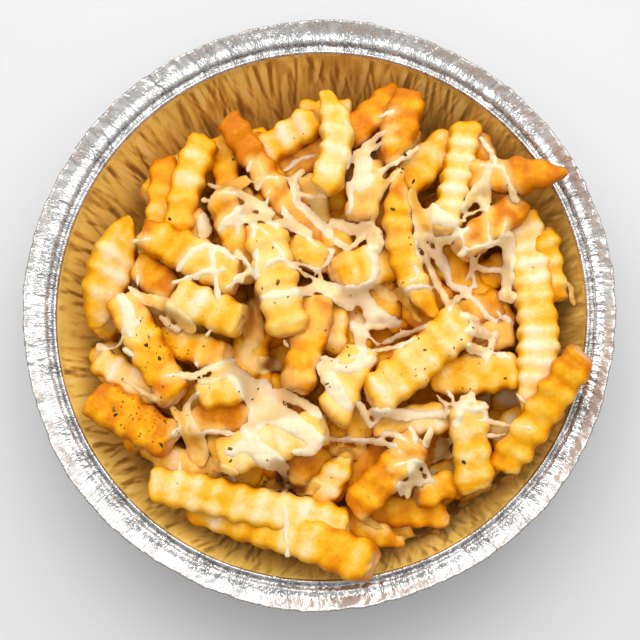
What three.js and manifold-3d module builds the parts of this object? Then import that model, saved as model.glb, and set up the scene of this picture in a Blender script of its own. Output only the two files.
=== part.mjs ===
// A round foil take-away pan heaped with crinkle-cut fries under melted shredded cheese.
// Millimetres, +Z up. The origin is the centre of the pan's flat underside.
// Two pieces: the pan, and the heap of fries as one body with the cheese fused to it.

import * as THREE from "three";
import { mergeVertices } from "three/addons/utils/BufferGeometryUtils.js";
import Module from "manifold-3d";

const wasm = await Module();
wasm.setup();

// The pan
const FOIL = 0.4;
const BASE_FLAT_RADIUS = 65;
const BASE_RADIUS = 70;
const CORNER_HEIGHT = 5;
const MOUTH_RADIUS = 81.8;
const MOUTH_HEIGHT = 44;
const LEDGE_WIDTH = 2.6;
const BAND_WIDTH = 3.4;
const FLANGE_REACH = 3.2;
const FLANGE_RISE = 1.9;
const MOUTH_SHIFT_X = -0.45;
const MOUTH_SHIFT_Y = 0.7;
const RIM_SHIFT_X = -0.55;
const RIM_SHIFT_Y = 0.65;
const PAN_SEGMENTS = 76;
const PLEAT = 0.22;
const FLUTE = 0.3;

// The heap
const PAN_CLEARANCE = 0.5;
const WALL_GAP = 1.6;
const RIM_CLEARANCE = 1.2;
const CORE_RADIUS = 59;
const CORE_EDGE = 10;
const CORE_TOP = 36;
const CORE_SEGMENTS = 28;
const CROWN_TOP = 58;
const CROWN_FALL = 12;
const LAYER_DEPTHS = { low: 13, second: 6, upper: 0 };
const SINK = 1.6;
const GIVE = 5;
const BEARING = 0.6;
const YIELD = 0.4;
const STEEPEST = 0.3;
const LEAN_TRIES = 20;
const LEAN_COST = 0.05;
const THICK = 9;
const PITCH = 6.6;
const RIDGE = 0.55;
const TAPER_LENGTH = 15;
const TIP = 0.3;
const BLUNT = 0.86;
const CHEESE_THICK = 2;
const CHEESE_SINK = 0.9;

// The maps of heights that the fries are laid by
const CELL = 1;
const MAP_HALF = 96;
const MAP_SIDE = (2 * MAP_HALF) / CELL + 1;
const MAP_STEP = 0.5;
const LAY_ROUNDS = 4;
const ACROSS = [-1, -0.5, 0, 0.5, 1];

// Each fry: from [x, y] to [x, y], how wide, and what sets it apart.
// bow is the bend to the left of its run, tips says which ends are pointed.
// Each lies on those listed before it. The low ones are mostly hidden.
const LOW = [
  { from: [69, 26], to: [72.5, 5], wide: 8 },
  { from: [-11, -48], to: [18, -40], wide: 10 },
  { from: [-32, -51], to: [-14, -53], wide: 9 },
  { from: [-55, 5], to: [-38, -6], wide: 7, bow: 2 },
  { from: [14, -60], to: [38, -61], wide: 8.6 },
  { from: [-32, 58], to: [-30, 40], wide: 8 },
  { from: [-21, 61], to: [-18, 50], wide: 6.5 },
  { from: [-14, 47], to: [4, 55], wide: 8 },
  { from: [6, 45], to: [3, 24], wide: 7.5, bow: -1 },
  { from: [-4, 45], to: [0, 22], wide: 9 },
  { from: [-27, 39], to: [-17, 23], wide: 9 },
  { from: [48.5, 56.5], to: [51, 43], wide: 8 },
  { from: [41, 8], to: [59, 17], wide: 10 },
  { from: [38, 0], to: [57, 5], wide: 9 },
  { from: [38, -9], to: [59, -5], wide: 9 },
  { from: [-50, 51], to: [-52, 24], wide: 8.6 },
];

const SECOND = [
  { from: [-36, 56], to: [-45, 25], wide: 9, bow: -1.5 },
  { from: [-19, 52], to: [-1, 62], wide: 9.4 },
  { from: [-29.5, 62.5], to: [0, 18], wide: 8.4 },
  { from: [-57, 16], to: [-46, 7], wide: 9.6 },
  { from: [-51.5, -5], to: [-29, -14], wide: 9.6, tips: "from" },
  { from: [-70, -13], to: [-50, -25], wide: 9 },
  { from: [4, -62], to: [25, -70], wide: 7.4, tips: "to" },
  { from: [-40.5, -57], to: [15.5, -75.5], wide: 12.2 },
  { from: [-52, -43.5], to: [-17, -49.5], wide: 8.6 },
  { from: [-33, -35], to: [-28, -48], wide: 8 },
  { from: [-40, -32], to: [-21, -31], wide: 8.8 },
  { from: [16, 48], to: [11, 29], wide: 8.8 },
  { from: [24, 71], to: [8, 56], wide: 9 },
  { from: [41, 55.5], to: [25, 40], wide: 10.8 },
  { from: [44, 42], to: [74.5, 42.5], wide: 9.4, tips: "to" },
  { from: [29, -55.5], to: [40.5, -50], wide: 8.4 },
  { from: [8.5, -43], to: [-2, -58], wide: 8.6, tips: "from" },
  { from: [3, -26], to: [15, -37], wide: 9.6 },
  { from: [16, -34], to: [40, -31], wide: 8.8 },
  { from: [8, 4], to: [28, -1], wide: 9 },
  { from: [9, 4], to: [12, -12], wide: 7.8 },
  { from: [4.3, 4], to: [3.4, -12], wide: 8 },
  { from: [-11, 20.5], to: [3, 17], wide: 9.2 },
  { from: [4, 11.5], to: [22, 16.5], wide: 11 },
];

const UPPER = [
  { from: [27.4, 69], to: [21, 46], wide: 10, tips: "to" },
  { from: [45.4, 59.3], to: [37, 24], wide: 8.8 },
  { from: [78.5, -13.5], to: [54.5, -47.5], wide: 10 },
  { from: [33, -19], to: [60.5, -17.5], wide: 11 },
  { from: [61, 31.5], to: [63, -32], wide: 11.4, bow: 4, tips: "to" },
  { from: [61.5, 34.5], to: [42.5, 19], wide: 9.2 },
  { from: [-31, 37], to: [-22, 11], wide: 8.6 },
  { from: [-54, 25.5], to: [-25.5, 9.5], wide: 11 },
  { from: [-59.5, 30], to: [-70, -4], wide: 12.6, thick: 7.5, bow: -1, roll: -28, tips: "both" },
  { from: [-44.5, 5.5], to: [-24, -3], wide: 11.4 },
  { from: [-61, 5], to: [-44, -26], wide: 10.8 },
  { from: [-70, -25.5], to: [-45.5, -39], wide: 12.6 },
  { from: [-51.5, -51.5], to: [8, -65], wide: 10.8 },
  { from: [-30, -44], to: [1, -34.5], wide: 11.4 },
  { from: [-37, -25], to: [-24, -23.5], wide: 8.4 },
  { from: [29.5, -38.5], to: [9.5, -59.5], wide: 10 },
  { from: [44.5, -27.5], to: [46.5, -54], wide: 11 },
  { from: [-1.5, 5], to: [-7, -24], wide: 10.4 },
  { from: [12.5, -11], to: [3, -32], wide: 11 },
  { from: [1, 70], to: [0, 38], wide: 9.6, bow: 4.5, tips: "from" },
  { from: [25, 43], to: [35.5, -1.5], wide: 8.4, bow: -5.5, tips: "both" },
  { from: [44.5, -2.5], to: [15, -27], wide: 12.4 },
  { from: [-17.5, 26.5], to: [-9.5, -7], wide: 12 },
];

const laid = (layer, fries) => fries.map((fry) => ({ ...fry, layer }));
const FRIES = [...laid("low", LOW), ...laid("second", SECOND), ...laid("upper", UPPER)];

// Melted cheese: each run goes through its points, draped over the fries and taut between them.
const CHEESE_RUNS = [
  { path: [[19.5, 48], [18, 36], [15.5, 25]], wide: 4 },
  { path: [[30, 26], [32.5, 13], [38, 0]], wide: 4.4 },
  { path: [[44, 18], [51, 21], [58, 16]], wide: 3.4 },
  { path: [[50, 30], [52, 20]], wide: 3 },
  { path: [[43.5, 8], [49, 4], [53, -2]], wide: 4 },
  { path: [[-19, 4.5], [-8, 7], [0, 6]], wide: 5 },
  { path: [[-7, 14.5], [3, 10], [14, 4.5]], wide: 6 },
  { path: [[18, -8.6], [31, -4.2]], wide: 3.2 },
  { path: [[2, -38.5], [19.5, -40]], wide: 3 },
  { path: [[-12.8, -46], [-11.5, -60], [-11, -72]], wide: 3.2 },
  { path: [[49, -33], [65, -35.4]], wide: 3.2 },
  { path: [[-43, 13], [-36, 21.5]], wide: 4 },
  { path: [[-34.6, 21], [-31.8, 4.5]], wide: 4 },
  { path: [[-35.8, 31], [-35.5, 23.5]], wide: 5 },
  { path: [[-57, 17], [-56.8, 8]], wide: 3 },
  { path: [[-32, 37], [-22, 38.5]], wide: 5 },
  { path: [[-25, 31], [-18, 16]], wide: 6 },
  { path: [[-20, 49.5], [-21, 42]], wide: 4 },
  { path: [[-12.5, 35.5], [-6, 28], [-2, 20.5]], wide: 3.6 },
  { path: [[12.5, 53.4], [22.8, 57.8]], wide: 3 },
  { path: [[15.5, 47.5], [9, 33.5]], wide: 7 },
  { path: [[45.5, 35.5], [51, 39.5], [57, 39]], wide: 4 },
  { path: [[22, -45.5], [31, -51]], wide: 5 },
  { path: [[-40.5, -25], [-39, -38.5], [-42, -45]], wide: 5.6 },
  { path: [[-18, -21], [-15.5, -36]], wide: 10 },
];

// The height of the pan's upper surface at a radius, with nothing in it
function panTop(radius) {
  if (radius > MOUTH_RADIUS + LEDGE_WIDTH + BAND_WIDTH + FLANGE_REACH + 2) return 0;
  if (radius > MOUTH_RADIUS - 1) {
    const outward = Math.max(0, radius - MOUTH_RADIUS - LEDGE_WIDTH - BAND_WIDTH + 1);
    return MOUTH_HEIGHT + outward * (FLANGE_RISE / FLANGE_REACH);
  }
  if (radius < BASE_FLAT_RADIUS) return FOIL;
  const wallFoot = BASE_RADIUS - CORNER_HEIGHT * 0.28;
  const climb = (MOUTH_HEIGHT * (radius - wallFoot)) / (MOUTH_RADIUS - wallFoot);
  const corner = (CORNER_HEIGHT * (radius - BASE_FLAT_RADIUS) ** 2) / (BASE_RADIUS - BASE_FLAT_RADIUS) ** 2;
  return Math.max(FOIL + Math.min(corner, CORNER_HEIGHT), climb);
}

// What the pan asks of a thing lying in it: a gap across the wall, and over the rim's pleats
function panSupport(x, y, reach = WALL_GAP) {
  const radius = Math.hypot(x, y) + reach;
  const rim = radius > MOUTH_RADIUS - 1 ? RIM_CLEARANCE : 0;
  return panTop(radius) + PAN_CLEARANCE + rim;
}

function coreTop(radius) {
  return CORE_EDGE + (CORE_TOP - CORE_EDGE) * (1 - (radius / CORE_RADIUS) ** 4);
}

// The crown is the rounded surface that the topmost fries reach.
function crownAt(x, y) {
  return CROWN_TOP - CROWN_FALL * (Math.hypot(x, y) / MOUTH_RADIUS) ** 2;
}

// Two maps: the lowest underside of what is laid so far, and the highest top
const undersides = new Float64Array(MAP_SIDE * MAP_SIDE).fill(Infinity);
const tops = new Float64Array(MAP_SIDE * MAP_SIDE);

function cellAt(x, y) {
  const column = Math.round((x + MAP_HALF) / CELL);
  const row = Math.round((y + MAP_HALF) / CELL);
  return row * MAP_SIDE + column;
}

function startTops() {
  for (let row = 0; row < MAP_SIDE; row += 1) {
    for (let column = 0; column < MAP_SIDE; column += 1) {
      const radius = Math.hypot(column * CELL - MAP_HALF, row * CELL - MAP_HALF);
      tops[row * MAP_SIDE + column] = radius < CORE_RADIUS - 1 ? coreTop(radius) : 0;
    }
  }
}

// How much of its full section a fry has at a share t of its length
function fullness(fry, t) {
  const run = fry.length;
  const fromEnd = t * run;
  const toEnd = (1 - t) * run;
  const tips = fry.tips || "none";
  const atFrom = tips === "from" || tips === "both";
  const atTo = tips === "to" || tips === "both";
  const taper = Math.min(TAPER_LENGTH, run * 0.45);
  const near = (distance, pointed) => {
    if (pointed) return TIP + (1 - TIP) * Math.sin((Math.min(distance / taper, 1) * Math.PI) / 2);
    return BLUNT + (1 - BLUNT) * Math.min(distance / 3, 1);
  };
  return Math.min(near(fromEnd, atFrom), near(toEnd, atTo));
}

// The middle of a fry at a share t of its length, and the two directions across it
function frameOf(fry, t) {
  const [x0, y0] = fry.from;
  const [x1, y1] = fry.to;
  const run = fry.length;
  const dx = (x1 - x0) / run;
  const dy = (y1 - y0) / run;
  const bend = (fry.bow || 0) * 4 * t * (1 - t);
  const middle = new THREE.Vector3(
    x0 + (x1 - x0) * t - dy * bend,
    y0 + (y1 - y0) * t + dx * bend,
    fry.z0 + (fry.z1 - fry.z0) * t,
  );
  const pitch = Math.atan2(fry.z1 - fry.z0, run);
  const roll = THREE.MathUtils.degToRad(fry.roll || 0);
  const level = new THREE.Vector3(-dy, dx, 0);
  const upright = new THREE.Vector3(-Math.sin(pitch) * dx, -Math.sin(pitch) * dy, Math.cos(pitch));
  const side = level.clone().multiplyScalar(Math.cos(roll)).addScaledVector(upright, Math.sin(roll));
  const up = upright.clone().multiplyScalar(Math.cos(roll)).addScaledVector(level, -Math.sin(roll));
  return { middle, side, up };
}

// A point of a fry: across from -1 to 1 over its width, over from -1 to 1 through its thickness
function pointOf(fry, t, across, over, swell = 0) {
  const { middle, side, up } = frameOf(fry, t);
  const full = fullness(fry, t);
  return middle
    .addScaledVector(side, across * (fry.wide / 2 + swell) * full)
    .addScaledVector(up, over * (fry.thick / 2 + swell) * full);
}

// At a share t: the height its middle may reach under fries and crown, and the one the pan asks for
function roomAt(fry, t) {
  const base = fry.z0 + (fry.z1 - fry.z0) * t;
  let under = Infinity;
  let onPan = 0;
  for (const across of ACROSS) {
    const top = pointOf(fry, t, across * BEARING, 1);
    const roof = Math.min(undersides[cellAt(top.x, top.y)] + SINK, crownAt(top.x, top.y) - fry.depth);
    under = Math.min(under, roof + base - top.z);
    const low = pointOf(fry, t, across, -1, RIDGE);
    onPan = Math.max(onPan, panSupport(low.x, low.y) + base - low.z);
  }
  return { under, onPan };
}

// The middle height of a fry with this rise from end to end: tucked under the others, clear of the pan
function middleFor(rooms, rise) {
  let sum = 0;
  let least = Infinity;
  let onPan = 0;
  rooms.forEach((room, i) => {
    const above = rise * (i / (rooms.length - 1) - 0.5);
    sum += room.under - above;
    least = Math.min(least, room.under - above);
    onPan = Math.max(onPan, room.onPan - above);
  });
  const mean = sum / rooms.length;
  return Math.max(Math.min(mean - (mean - least) * YIELD, least + GIVE), onPan);
}

// A fry takes the lean that follows the room left for it most closely.
function settle(fry) {
  fry.length = Math.hypot(fry.to[0] - fry.from[0], fry.to[1] - fry.from[1]);
  fry.thick = fry.thick || THICK;
  fry.depth = LAYER_DEPTHS[fry.layer];
  fry.z0 = 0;
  fry.z1 = 0;
  const steps = 2 * Math.ceil(fry.length / 3);
  for (let round = 0; round < LAY_ROUNDS; round += 1) {
    const rooms = Array.from({ length: steps + 1 }, (_, i) => roomAt(fry, i / steps));
    let best = Infinity;
    for (let i = 0; i <= LEAN_TRIES; i += 1) {
      const rise = STEEPEST * fry.length * ((2 * i) / LEAN_TRIES - 1);
      const middle = middleFor(rooms, rise);
      const misfit = rooms.reduce((sum, room, j) => {
        const place = middle + rise * (j / steps - 0.5);
        return sum + Math.abs(Math.max(room.under, room.onPan) - place);
      }, 0);
      const cost = misfit / rooms.length + Math.abs(rise) * LEAN_COST;
      if (cost < best) {
        best = cost;
        fry.z0 = middle - rise / 2;
        fry.z1 = middle + rise / 2;
      }
    }
  }
}

function markMaps(fry) {
  const along = Math.ceil(fry.length / MAP_STEP);
  const over = Math.ceil(fry.wide / MAP_STEP);
  for (let i = 0; i <= along; i += 1) {
    for (let j = 0; j <= over; j += 1) {
      const top = pointOf(fry, i / along, (2 * j) / over - 1, 1);
      const above = cellAt(top.x, top.y);
      tops[above] = Math.max(tops[above], top.z);
      const low = pointOf(fry, i / along, (2 * j) / over - 1, -1);
      const below = cellAt(low.x, low.y);
      undersides[below] = Math.min(undersides[below], low.z);
    }
  }
}

// A closed three.js geometry as a solid, its flat slivers dropped and its faces turned outwards
function solidFrom(geometry) {
  const bare = geometry.clone();
  bare.deleteAttribute("normal");
  bare.deleteAttribute("uv");
  const merged = mergeVertices(bare, 1e-4);
  const corners = merged.index.array;
  const kept = [];
  for (let i = 0; i < corners.length; i += 3) {
    const [a, b, c] = [corners[i], corners[i + 1], corners[i + 2]];
    if (a !== b && b !== c && c !== a) kept.push(a, b, c);
  }
  const build = (triangles) => new wasm.Manifold(new wasm.Mesh({
    numProp: 3,
    vertProperties: new Float32Array(merged.attributes.position.array),
    triVerts: new Uint32Array(triangles),
  }));
  const solid = build(kept);
  if (solid.volume() > 0) return solid;
  return build(kept.reverse());
}

function geometryFrom(solid) {
  const mesh = solid.getMesh();
  const geometry = new THREE.BufferGeometry();
  geometry.setAttribute("position", new THREE.BufferAttribute(mesh.vertProperties, 3));
  geometry.setIndex(new THREE.BufferAttribute(mesh.triVerts, 1));
  geometry.computeVertexNormals();
  return geometry;
}

// Every vertex of a geometry moved by a function of its place
function moved(geometry, move) {
  const place = geometry.getAttribute("position");
  const point = new THREE.Vector3();
  for (let i = 0; i < place.count; i += 1) {
    point.fromBufferAttribute(place, i);
    move(point);
    place.setXYZ(i, point.x, point.y, point.z);
  }
  return geometry;
}

// A profile of [radius, height] turned about the upright axis
function turned(profile, segments) {
  const points = profile.map(([radius, height]) => new THREE.Vector2(radius, height));
  return new THREE.LatheGeometry(points, segments).rotateX(Math.PI / 2);
}

// The run of the foil's middle, from the centre of the base to the flange's edge
function foilRun() {
  const ledge = MOUTH_RADIUS + LEDGE_WIDTH;
  const band = ledge + BAND_WIDTH;
  return [
    [0, FOIL / 2],
    [BASE_FLAT_RADIUS, FOIL / 2],
    [BASE_FLAT_RADIUS + 3.4, 1.5],
    [BASE_RADIUS, CORNER_HEIGHT],
    [(BASE_RADIUS + MOUTH_RADIUS) / 2, (CORNER_HEIGHT + MOUTH_HEIGHT) / 2],
    [MOUTH_RADIUS - 0.5, MOUTH_HEIGHT - 1.2],
    [MOUTH_RADIUS + 0.2, MOUTH_HEIGHT + 0.3],
    [MOUTH_RADIUS + 1.1, MOUTH_HEIGHT - 0.6],
    [ledge, MOUTH_HEIGHT - 0.5],
    [ledge + 0.6, MOUTH_HEIGHT + 0.3],
    [band, MOUTH_HEIGHT + 0.5],
    [band + FLANGE_REACH, MOUTH_HEIGHT + 0.5 + FLANGE_RISE],
  ];
}

// Both faces of the foil, half its thickness off the run's middle on each side
function foilProfile() {
  const run = foilRun();
  const faceOf = (sign) => run.map(([radius, height], i) => {
    const before = run[Math.max(i - 1, 0)];
    const after = run[Math.min(i + 1, run.length - 1)];
    const along = new THREE.Vector2(after[0] - before[0], after[1] - before[1]).normalize();
    const off = (sign * FOIL) / 2;
    return [i === 0 ? 0 : radius - along.y * off, i < 2 ? height + off : height + along.x * off];
  });
  return [...faceOf(-1), ...faceOf(1).reverse()];
}

// The crimped rim, its uneven flange, the wall's shallow flutes, and the lean of the whole wall
function crumple(point) {
  const radius = Math.hypot(point.x, point.y);
  if (radius < BASE_FLAT_RADIUS + 1) return;
  const angle = Math.atan2(point.y, point.x);
  const outX = point.x / radius;
  const outY = point.y / radius;
  const step = Math.round((angle / (2 * Math.PI)) * PAN_SEGMENTS);
  const turn = Math.abs(step) % 2 === 0 ? 1 : -1;
  const nearRim = THREE.MathUtils.smoothstep(point.z, 34, 42);
  const upWall = THREE.MathUtils.smoothstep(point.z, 2, 20) * (1 - nearRim);
  const lean = THREE.MathUtils.clamp((point.z - CORNER_HEIGHT) / (MOUTH_HEIGHT - CORNER_HEIGHT), 0, 1);
  const rim = THREE.MathUtils.smoothstep(radius, MOUTH_RADIUS, MOUTH_RADIUS + LEDGE_WIDTH + BAND_WIDTH);
  const edge = THREE.MathUtils.smoothstep(radius, MOUTH_RADIUS + LEDGE_WIDTH + BAND_WIDTH, MOUTH_RADIUS + 9);
  const wander = 0.35 * Math.sin(7 * angle + 1) + 0.3 * Math.sin(13 * angle + 2);
  const out = FLUTE * turn * upWall + edge * wander;
  point.x += outX * out + lean * MOUTH_SHIFT_X + rim * RIM_SHIFT_X;
  point.y += outY * out + lean * MOUTH_SHIFT_Y + rim * RIM_SHIFT_Y;
  point.z += rim * turn * PLEAT + edge * 0.4 * Math.sin(5 * angle);
}

function foilPan() {
  return geometryFrom(solidFrom(moved(turned(foilProfile(), PAN_SEGMENTS), crumple)));
}

// The hidden middle of the heap: a low dome that the fries lie on
function core() {
  const floor = FOIL + PAN_CLEARANCE;
  const radii = [CORE_RADIUS, 50, 38, 24, 10];
  const dome = radii.map((radius) => [radius, coreTop(radius)]);
  return solidFrom(turned([[0, floor], [CORE_RADIUS - 2, floor], ...dome, [0, CORE_TOP]], CORE_SEGMENTS));
}

// One fry: a bar whose ridges and grooves alternate along it, bent and tapered into place
function frySolid(fry) {
  const bands = Math.max(3, Math.round((2 * fry.length) / PITCH));
  const bar = new THREE.BoxGeometry(1, 1, 1, bands, 1, 1);
  return solidFrom(moved(bar, (point) => {
    const t = point.x + 0.5;
    const ridge = Math.round(t * bands) % 2 === 0 ? RIDGE : -RIDGE;
    point.copy(pointOf(fry, t, 2 * point.y, 2 * point.z, ridge));
  }));
}

// Heights under a run of cheese: it is pulled tight over what it lies on.
function tautHeights(places, reach) {
  const under = places.map(([x, y]) => Math.max(tops[cellAt(x, y)], panSupport(x, y, reach) + CHEESE_SINK));
  const held = [...under];
  for (let round = 0; round < 60; round += 1) {
    for (let i = 1; i < held.length - 1; i += 1) {
      held[i] = Math.max(under[i], (held[i - 1] + held[i + 1]) / 2 - 0.05);
    }
  }
  return held;
}

function cheeseSolid({ path, wide }) {
  const flat = path.map(([x, y]) => new THREE.Vector3(x, y, 0));
  const curve = new THREE.CatmullRomCurve3(flat);
  const steps = Math.max(3, Math.round(curve.getLength() / 3.5));
  const middles = curve.getSpacedPoints(steps).map((point) => [point.x, point.y]);
  const held = tautHeights(middles, wide / 2 + WALL_GAP);
  const strip = new THREE.BoxGeometry(1, 1, 1, steps, 1, 1);
  return solidFrom(moved(strip, (point) => {
    const t = point.x + 0.5;
    const i = Math.round(t * steps);
    const along = curve.getTangent(t);
    const narrow = i === 0 || i === steps ? 0.55 : 1;
    const across = point.y * wide * narrow;
    const z = held[i] - CHEESE_SINK + (point.z + 0.5) * CHEESE_THICK * (point.z > 0 ? narrow : 1);
    point.set(middles[i][0] - along.y * across, middles[i][1] + along.x * across, z);
  }));
}

// The heap as one body, laid from the top down, each fry tucked under those listed after it.
function friesHeap() {
  startTops();
  for (const fry of [...FRIES].reverse()) {
    settle(fry);
    markMaps(fry);
  }
  const pieces = [...FRIES.map(frySolid), ...CHEESE_RUNS.map(cheeseSolid)];
  const fused = pieces.reduce((whole, piece) => whole.add(piece), core());
  const bodies = fused.decompose();
  return bodies.reduce((most, body) => (body.volume() > most.volume() ? body : most));
}

const foil = new THREE.MeshStandardMaterial({ color: 0xc9c9c8, roughness: 0.22, metalness: 1 });
const fried = new THREE.MeshStandardMaterial({ color: 0xf2c164, roughness: 0.45, metalness: 0 });

const pan = new THREE.Mesh(foilPan(), foil);
pan.name = "foil_pan";

const heap = new THREE.Mesh(geometryFrom(friesHeap()), fried);
heap.name = "fries_heap";

const group = new THREE.Group();
group.add(pan, heap);

export default group;
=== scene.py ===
import math

import bpy
import numpy as np
from mathutils import Matrix, Vector


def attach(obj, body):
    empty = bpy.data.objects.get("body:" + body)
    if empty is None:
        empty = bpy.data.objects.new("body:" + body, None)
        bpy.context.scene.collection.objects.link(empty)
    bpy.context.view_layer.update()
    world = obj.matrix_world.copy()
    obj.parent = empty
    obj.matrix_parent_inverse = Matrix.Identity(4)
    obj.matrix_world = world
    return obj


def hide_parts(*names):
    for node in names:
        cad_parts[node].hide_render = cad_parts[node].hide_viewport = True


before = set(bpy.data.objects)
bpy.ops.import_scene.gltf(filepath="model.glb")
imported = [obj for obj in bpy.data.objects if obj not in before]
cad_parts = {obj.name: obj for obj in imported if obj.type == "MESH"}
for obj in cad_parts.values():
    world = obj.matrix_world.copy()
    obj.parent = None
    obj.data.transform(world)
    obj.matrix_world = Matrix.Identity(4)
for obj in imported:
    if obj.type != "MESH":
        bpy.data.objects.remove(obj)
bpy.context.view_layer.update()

# Sizes are in millimetres and become metres when a mesh is made.
MM = 0.001

# The seeds of the random draws
FOIL_SEED = 5
FRIES_SEED = 11
CHEESE_SEED = 23
HERB_SEED = 31

# The pan, as the part has it
FOIL = 0.4
BASE_FLAT_RADIUS = 65.0
BASE_RADIUS = 70.0
CORNER_HEIGHT = 5.0
MOUTH_RADIUS = 81.8
MOUTH_HEIGHT = 44.0
LEDGE_WIDTH = 2.6
BAND_WIDTH = 3.4
FLANGE_REACH = 3.2
FLANGE_RISE = 1.9
MOUTH_SHIFT = (-0.45, 0.7)
RIM_SHIFT = (-0.55, 0.65)

# The crumpled foil: steps round it, and the radius at which an angle is measured along a ring
PAN_STEPS = 990
RING_RADIUS = 80.0

# Its creases: how many, their widths, their depths from inwards to outwards, and how far they lean
WALL_CREASES = {"count": 320, "width": (0.5, 1.5), "depth": (-0.32, 0.22), "lean": 0.16}
FINE_CREASES = {"count": 640, "width": (0.3, 0.6), "depth": (-0.17, 0.08), "lean": 0.2}
FOOT_CREASES = {"count": 130, "width": (0.5, 1.1), "depth": (-0.3, 0.12), "lean": 0.25}
PLEATS = {"count": 330, "width": (0.28, 0.6), "depth": (-0.4, 0.1), "lean": 0.35}
FINE_PLEATS = {"count": 420, "width": (0.3, 0.45), "depth": (-0.25, 0.15), "lean": 0.5}

# The heights of its waves: long and short ones at the flange's edge, those up the wall, dents, and the ruffle
EDGE_OUT = (0.45, 0.16)
EDGE_UP = (0.45, 0.25)
WALL_WAVES = 0.16
WALL_DENTS = 0.3
BASE_DENTS = 0.12
RUFFLE = 0.16

# Where the stretches of the foil's finish lie, along its run from the middle of the base
RIM_START = 108.5
WALL_END = 112.4
LEDGE_RUN = (114.1, 116.3)
FLANGE_START = 119.4
EDGE_START = 122.8

# The foil's colours, as linear light
BRIGHT_FOIL = (0.8, 0.795, 0.785, 1.0)
# The ledge's grey is painted shade, laid in patches over the flat ledge
LEDGE_PAINTED_SHADE = (0.5, 0.49, 0.48, 1.0)
# Painted shade in the sharp kinks of the rim
KINK_PAINTED_SHADE = (0.16, 0.155, 0.15, 1.0)
FLANGE_FOIL = (0.88, 0.86, 0.83, 1.0)
EDGE_FOIL = (0.42, 0.37, 0.32, 1.0)

# How much mirror shine the band loses on the far side, and the flange on the near side: painted light, which
# sets how bright each side looks as the light falls there
BAND_DULL = 0.22
FLANGE_DULL = 0.34

# The painted reflection of the fries on the wall's lining, with painted glints and painted shade on its
# folds: its colours, how its painted light leans over x and y, how strongly folds show in it, and how much it
# blurs and dulls the foil, from its brown to its gold
REFLECTION_PAINT_GOLD = (1.0, 0.71, 0.16, 1.0)
REFLECTION_PAINT_BROWN = (0.5, 0.2, 0.03, 1.0)
# Painted shade in the wall's furrows, and a painted glint on the lit side of its folds
FURROW_PAINTED_SHADE = (0.28, 0.105, 0.015, 1.0)
FOLD_PAINTED_GLINT = (1.0, 0.84, 0.48, 1.0)
PAINTED_SIDE_LIGHT = (-0.0024, -0.0008)
FOLD_GAIN = 1.2
WALL_BLUR = 0.08
REFLECTION_PAINT_MATT = (0.25, 0.95)

# The heap, as the part has it: its gaps to the pan, its hidden core, and the crown that the top fries reach
PAN_CLEARANCE = 0.5
WALL_GAP = 1.6
RIM_CLEARANCE = 1.2
CORE_RADIUS = 59.0
CORE_EDGE = 10.0
CORE_TOP = 36.0
CROWN_TOP = 58.0
CROWN_FALL = 12.0

# How the fries are laid: each layer's depth, how far one sinks into another or gives way, and how it leans
LAYER_DEPTHS = {"low": 13.0, "second": 6.0, "upper": 0.0}
SINK = 1.6
GIVE = 5.0
BEARING = 0.6
YIELD = 0.4
STEEPEST = 0.3
LEAN_TRIES = 20
LEAN_COST = 0.05
LAY_ROUNDS = 4
ACROSS = np.array([-1.0, -0.5, 0.0, 0.5, 1.0])

# A fry's usual thickness, the height of its ridges, and how far its ends draw in
THICK = 9.0
RIDGE = 0.55
TAPER_LENGTH = 15.0
TIP = 0.3
BLUNT_END = 0.86
BLUNT_LENGTH = 3.0

# The map of the fries' undersides
MAP_HALF = 96
MAP_SIDE = 2 * MAP_HALF + 1
MAP_STEP = 0.5

# The fries' fine surface: its mesh and section, its ridges, and its ends
STATION_STEP = 0.6
AROUND = 32
SQUARENESS = 4.6
SWELL = 0.05
SWAY = 0.35
RIDGE_SKEW = 0.18
RIDGE_WANDER = 0.35
CREST_POWER = 0.8
RIDGE_ON_TOP = 0.44
RIDGE_ON_SIDES = 0.45
LUMPS = (0.15, 0.05)
CAP_SCALES = (0.86, 0.6, 0.3)
DOME = 0.5
END_ROUNDING = 1.1
POINTED_ROUNDING = 0.3
BLUNT_ROUNDING = 0.14
END_SLANT = 0.3
END_TILT = 0.2
END_ROUGHNESS = 0.25
END_FADE = 3.0

# The fries under the showing ones: depth below the crown, how many, and between which radii
BED_LAYERS = [(15.0, 24, 0.0, 50.0), (24.0, 24, 20.0, 56.0), (33.0, 26, 44.0, 57.0)]
BED_SPLIT = 37
DEEP_BED = 30.0
BED_PULL_FROM = 30.0
BED_REACH = 64.0
BED_WALL_GAP = 6.0

# The fries tucked along the wall: how many in each ring, and how far each ring keeps inside the showing ones
WALL_RINGS = [(24, 5.0), (22, 7.5), (20, 9.0)]
WALL_REACH = 73.0

# The hidden core in the fine surface: how far it keeps under the part's, and its steps round
CORE_DROP = 5.0
CORE_AROUND = 96

# The cheese's grid, its taut strands, its sinking and swelling edge, its lumps and belly, and its thin film
CHEESE_CELL = 0.5
CHEESE_HALF = 84.0
CHEESE_SIDE = int(2 * CHEESE_HALF / CHEESE_CELL) + 1
CHEESE_BLEND = 0.45
CHEESE_LIFT = 0.12
PULL_ROUNDS = 160
PULL_SAG = 0.01
LYING_ROUNDS = 8
EDGE_SINK = 0.55
EDGE_SLOPE = 0.7
EDGE_SWELL = 1.1
CHEESE_LUMPS = 0.35
CHEESE_BELLY = 0.4
FILM_SPREAD = 2.2
FILM_REACH = 50.0
FILM_FALL = 1.4
FILM_DEPTH = 9.0

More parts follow.
